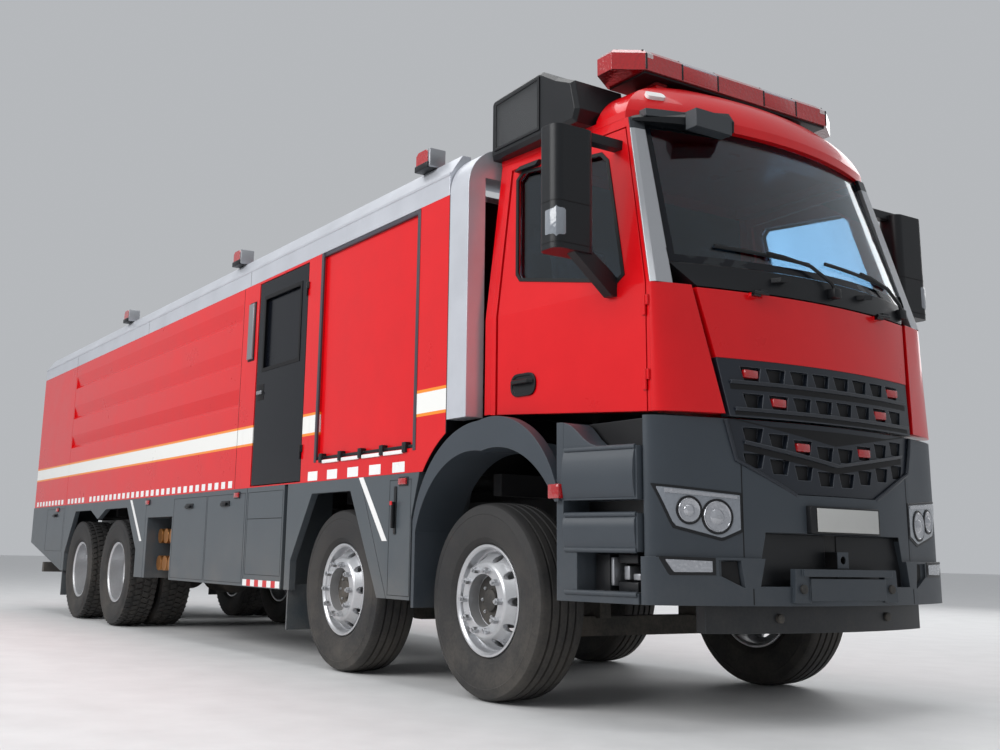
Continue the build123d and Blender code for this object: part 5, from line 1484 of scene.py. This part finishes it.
    def pump_door(self) -> None:
        """Sets the window's seal and the handle of the pump room door."""
        body = f"{self.side.word}_pump_door"
        loop = [(1.350, 2.170), (2.010, 2.170), (2.010, 2.750), (1.350, 2.750)]
        y = self.side.value * (self.half - 0.003)
        outer, inner = ([(x, y, z) for x, z in offset_loop(loop, by)] for by in (0.016, -0.012))
        Form().ring(outer, inner, self.side.out(0.007)).settle(self.side.tag("pump_window_seal"), SEAL, body)
        self.piece("pump_handle_cup", SEAL, [((1.270, 1.395), (-0.002, 0.003), (1.930, 2.055))], 0.002, body)
        self.piece("pump_handle", SATIN, [((1.285, 1.380), (0.002, 0.020), (1.975, 2.005))], 0.006, body)

    def rail(self) -> None:
        """Sets the silver brackets of the side lamps and the rail's seams."""
        lamps = (3.670, 0.590, -2.530)
        self.piece("lamp_brackets", SATIN, [
            ((x + 0.072, x + 0.100), (-0.150, -0.030), (3.185, 3.310)) for x in lamps], 0.006)
        self.piece("lamp_feet", BLACK, [
            ((x - 0.075, x + 0.085), (-0.160, -0.020), (3.180, 3.222)) for x in lamps], 0.006)
        self.piece("rail_seams", SEAL, [
            ((x - 0.002, x + 0.002), (-0.0005, 0.0006), (2.912, 3.030)) for x in (1.02, -1.60, -4.26)])

    def fender(self) -> None:
        """Sets the red marker lamp and the strips, nosings and fittings of the front steps."""
        self.piece("fender_lamp", RED_LENS, [((5.040, 5.128), (1.2560, 1.212), (1.055, 1.128))], 0.006, half=0.0)
        self.piece("step_treads", SATIN, [
            ((x, x + 0.050), y, (z - 0.001, z + 0.004))
            for z, y in ((0.611, (1.010, 1.110)), (0.9805, (1.065, 1.120)), (1.3005, (1.065, 1.120)))
            for x in (5.235 + step * 0.078 for step in range(4))], 0.001, half=0.0)
        form = Form()
        for z in (1.294, 0.974, 0.806, 0.604):
            form.tube([(5.140 + share * 0.408, self.side.value * (1.2215 - share * 0.1010), z)
                       for share in (0.0, 0.25, 0.5, 0.75, 1.0)], 0.013, 10)
        form.settle(self.side.tag("step_nosings"), BUMPER)
        self.piece("step_bay_frames", BLACK, [
            ((5.225, 5.330), (1.000, 1.098), (0.612, 0.790)), ((5.375, 5.515), (1.010, 1.085), (0.612, 0.660)),
            ((5.375, 5.515), (1.010, 1.085), (0.745, 0.790))], 0.006, half=0.0)
        self.piece("step_bay_fittings", SATIN, [
            ((5.345, 5.368), (1.020, 1.105), (0.640, 0.775)), ((5.400, 5.440), (1.000, 1.070), (0.668, 0.735)),
            ((5.470, 5.520), (1.020, 1.075), (0.668, 0.700))], 0.006, half=0.0)

    def step_panels(self) -> None:
        """Sets the rounded skins and the sloping shoulder of the front steps."""
        out = self.side.value

        def plan(x: float) -> float:
            """Gives the step module's distance from the centre line at a station."""
            return 1.235 - (x - 5.090) * 0.115 / 0.465

        form = Form()
        upper = ((1.050, -0.003), (1.060, 0.006), (1.110, 0.015), (1.170, 0.018), (1.230, 0.014), (1.275, 0.006),
                 (1.292, -0.003))
        lower = ((0.806, -0.003), (0.815, 0.002), (0.860, 0.008), (0.910, 0.012), (0.950, 0.010), (0.968, -0.003))
        for section in (upper, lower):
            columns = []
            for step in range(9):
                x, ease = 5.134 + step * 0.0515, 1.0 if 0 < step < 8 else 0.35
                face = [(x, out * (plan(x) + max(bulge, bulge * ease)), z) for z, bulge in section]
                columns.append(face + [(x, out * (plan(x) - 0.006), z) for z, _ in reversed(section)])
            form.loft(columns)
        slope = ((5.126, 1.434), (5.150, 1.430), (5.180, 1.415), (5.215, 1.385), (5.250, 1.350), (5.290, 1.322),
                 (5.345, 1.302))
        foot, back = 1.299, out * 1.075
        form.loft([[(x, back, foot), (x, out * (plan(x) - 0.001), foot), (x, out * (plan(x) - 0.001), z - 0.002),
                    (x, out * (plan(x) - 0.012), z), (x, back, z)] for x, z in slope])
        form.settle(self.side.tag("step_panels"), BUMPER, smooth=0.9)

    def build(self) -> None:
        """Builds every fitting of the side."""
        self.shutter()
        self.tape()
        self.lockers()
        self.small_lamps()
        self.pump_door()
        self.rail()
        self.fender()
        self.step_panels()


@dataclass
class Seat:
    """One cab seat: padded cushion, back and headrest on a plain base."""

    side: Side
    offset: float = 0.575
    inset: float = 0.022
    voxel: float = 0.016
    pressure: float = 4.0
    frames: int = 20

    def swell(self, name: str, outline: Sequence[Flat], half: float) -> None:
        """Makes one padded piece, filled by cloth pressure.

        Args:
            name: The piece's name without the side.
            outline: Its side outline in x and z.
            half: Half of its width.
        """
        name, half, middle = self.side.tag(name), half - self.inset, self.side.value * self.offset
        loop = [(x, middle - half, z) for x, z in offset_loop(outline, -self.inset)]
        form = Form().plate(loop, (0.0, 2 * half, 0.0))
        bmesh.ops.bevel(form.mesh, geom=form.mesh.edges[:], offset=0.022, segments=3, affect="EDGES", profile=0.5)
        soft = bpy.data.objects.new(f"{name}_form", form.to_mesh(name))
        bpy.context.scene.collection.objects.link(soft)
        remesh = soft.modifiers.new("even_faces", "REMESH")
        remesh.mode, remesh.voxel_size = "VOXEL", self.voxel
        soft.data = evaluated(soft)
        soft.modifiers.clear()
        self.fill(soft)
        smooth = soft.modifiers.new("smooth", "SUBSURF")
        smooth.levels = smooth.render_levels = 1
        mesh = evaluated(soft)
        bpy.data.objects.remove(soft)
        piece = settle(name, mesh, CLOTH, "chassis", smooth=3.0)
        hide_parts("seats")

    def fill(self, soft: bpy.types.Object) -> None:
        """Runs the cloth under pressure and keeps its moves within the inset.

        Args:
            soft: The object to fill.
        """
        cloth = soft.modifiers.new("filling", "CLOTH")
        cloth.settings.use_pressure = True
        cloth.settings.uniform_pressure_force = self.pressure
        cloth.settings.effector_weights.gravity = 0.0
        cloth.point_cache.frame_start, cloth.point_cache.frame_end = 1, self.frames
        scene = bpy.context.scene
        for frame_number in range(1, self.frames + 1):
            scene.frame_set(frame_number)
        swollen = evaluated(soft)
        soft.modifiers.clear()
        limit = 0.9 * self.inset
        for vertex, moved in zip(soft.data.vertices, swollen.vertices):
            step = moved.co - vertex.co
            vertex.co += step * min(1.0, limit / step.length) if step.length else step
        bpy.data.meshes.remove(swollen)
        scene.frame_set(1)

    def build(self) -> None:
        """Builds the seat's padding and its base."""
        self.swell("seat_cushion", [(4.480, 1.835), (5.000, 1.835), (5.000, 1.955), (4.480, 1.955)], 0.260)
        self.swell("seat_back", [(4.480, 1.915), (4.630, 1.945), (4.500, 2.635), (4.390, 2.625)], 0.235)
        self.swell("seat_headrest", [(4.395, 2.615), (4.485, 2.615), (4.485, 2.795), (4.395, 2.795)], 0.140)
        y = self.side.value * self.offset
        base = blocks(self.side.tag("seat_base"), BLACK, [
            ((4.520, y - 0.20, 1.615), (4.960, y + 0.20, 1.845)), ((4.430, y - 0.02, 2.56), (4.450, y + 0.02, 2.66))],
            0.01)
        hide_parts("seats")


@dataclass
class RearAndRoof:
    """Fittings of the tail and the roof."""

    rear: float = -5.850

    def tail(self) -> None:
        """Sets the shutter's bar, the plate, the tape and the lamps' frames."""
        x = self.rear
        blocks("rear_lift_bar", BLACK, [((x + 0.004, -0.99, 1.395), (x + 0.026, 0.54, 1.425))], 0.004)
        blocks("rear_plate", PLATE, [((x + 0.290, -0.26, 0.470), (x + 0.298, 0.26, 0.575))], 0.002)
        blocks("rear_tape", TAPE_RED, [((x + 0.294, y, 0.470), (x + 0.2995, y + 0.14, 0.570)) for y in (
            -1.13, -0.85, -0.57, 0.43, 0.71, 0.99)])
        blocks("rear_lamp_bars", SEAL, [
            ((x - 0.0005, side.value * y, 1.292), (x + 0.004, side.value * (y + 0.005), 1.358)) for side in Side
            for y in (0.985, 1.07)])

    def roof(self) -> None:
        """Sets the hatches' handles and the monitor's pipe rings."""
        handles, low, high = Form(), 3.018, 3.048
        for x in (0.120, -2.230, -3.680):
            handles.tube([(x - 0.09, 0.0, low), (x - 0.09, 0.0, high), (x + 0.09, 0.0, high), (x + 0.09, 0.0, low)],
                         0.010)
        handles.settle("hatch_handles", SATIN)
        rings = Form()
        for x, radius in ((1.60, 0.068), (1.90, 0.060), (2.29, 0.047)):
            rings.lathe([(-0.014, radius - 0.012), (-0.014, radius + 0.006), (0.014, radius + 0.006),
                         (0.014, radius - 0.012)], 28, Matrix.Translation((x, 0.0, 3.275)) @ FACE_FORWARD)
        rings.settle("monitor_rings", SATIN, "monitor_gun")

    def build(self) -> None:
        """Builds every fitting of the tail and roof."""
        self.tail()
        self.roof()


@dataclass
class Studio:
    """The floor, the lights and the camera at the photograph's place."""

    eye: Point = (9.677, -4.818, 0.771)
    yaw: float = 0.561
    pitch: float = 0.206
    roll: float = 0.020
    lens: float = 41.17
    shift: Flat = (0.0581, -0.0597)
    sky: Colour = (0.93, 0.96, 1.0)
    sky_strength: float = 0.5

    def floor(self) -> None:
        """Lays the pale floor."""
        form = Form()
        bmesh.ops.create_grid(form.mesh, x_segments=1, y_segments=1, size=90.0)
        mesh = form.to_mesh("floor")
        mesh.materials.append(FLOOR.material())
        floor = bpy.data.objects.new("floor", mesh)
        floor.location.z = -0.001
        bpy.context.scene.collection.objects.link(floor)

    def softbox(self, name: str, place: Point, aim: Point, size: Flat, power: float) -> None:
        """Adds a soft area light.

        Args:
            name: The light's name.
            place: Where it stands.
            aim: Point that it faces.
            size: Its width and height.
            power: Its power in watts.
        """
        data = bpy.data.lights.new(name, "AREA")
        data.shape = "RECTANGLE"
        data.size, data.size_y = size
        data.energy = power
        light = bpy.data.objects.new(name, data)
        light.location = place
        light.rotation_euler = (Vector(aim) - Vector(place)).to_track_quat("-Z", "Y").to_euler()
        bpy.context.scene.collection.objects.link(light)

    def camera(self) -> None:
        """Sets the camera where the photograph was taken from."""
        look = Vector((-math.cos(self.yaw) * math.cos(self.pitch), math.sin(self.yaw) * math.cos(self.pitch),
                       math.sin(self.pitch)))
        right = look.cross(Vector((0.0, 0.0, 1.0))).normalized()
        up = right.cross(look)
        tilt_right = math.cos(self.roll) * right + math.sin(self.roll) * up
        tilt_up = -math.sin(self.roll) * right + math.cos(self.roll) * up
        data = bpy.data.cameras.new("photo_camera")
        data.sensor_width, data.lens, data.clip_end = 36.0, self.lens, 400.0
        data.shift_x, data.shift_y = self.shift
        camera = bpy.data.objects.new("photo_camera", data)
        turn = Matrix((tilt_right, tilt_up, -look)).transposed().to_4x4()
        camera.matrix_world = Matrix.Translation(self.eye) @ turn
        bpy.context.scene.collection.objects.link(camera)
        bpy.context.scene.camera = camera

    def build(self) -> None:
        """Builds the studio."""
        self.floor()
        world = bpy.data.worlds.new("studio")
        world.use_nodes = True
        sky = world.node_tree.nodes["Background"]
        sky.inputs["Color"].default_value = (*self.sky, 1.0)
        sky.inputs["Strength"].default_value = self.sky_strength
        bpy.context.scene.world = world
        self.softbox("key_right", (3.0, -13.0, 9.0), (0.0, 0.0, 1.5), (14.0, 7.0), 1650.0)
        self.softbox("overhead", (0.0, 0.0, 13.0), (0.0, 0.0, 0.0), (16.0, 8.0), 800.0)
        self.softbox("left_fill", (-2.0, 13.0, 7.0), (0.0, 0.0, 1.5), (12.0, 6.0), 500.0)
        bpy.context.scene.view_settings.view_transform = "Standard"
        self.camera()


def main() -> None:
    """Builds the studio and dresses the vehicle."""
    logging.basicConfig(level=logging.INFO)
    Studio().build()
    dress()
    CabFront().build()
    BumperTrim().build()
    RearAndRoof().build()
    for side in Side:
        CabSide(side).build()
        Seat(side).build()
        Flank(side).build()
        for axle, x in ((1, 4.37), (2, 2.67)):
            Wheel(axle, x, side, 1.035, False).build()
        for axle, x in ((3, -2.23), (4, -3.58)):
            Wheel(axle, x, side, 0.910, True).build()


if __name__ == "__main__":
    main()
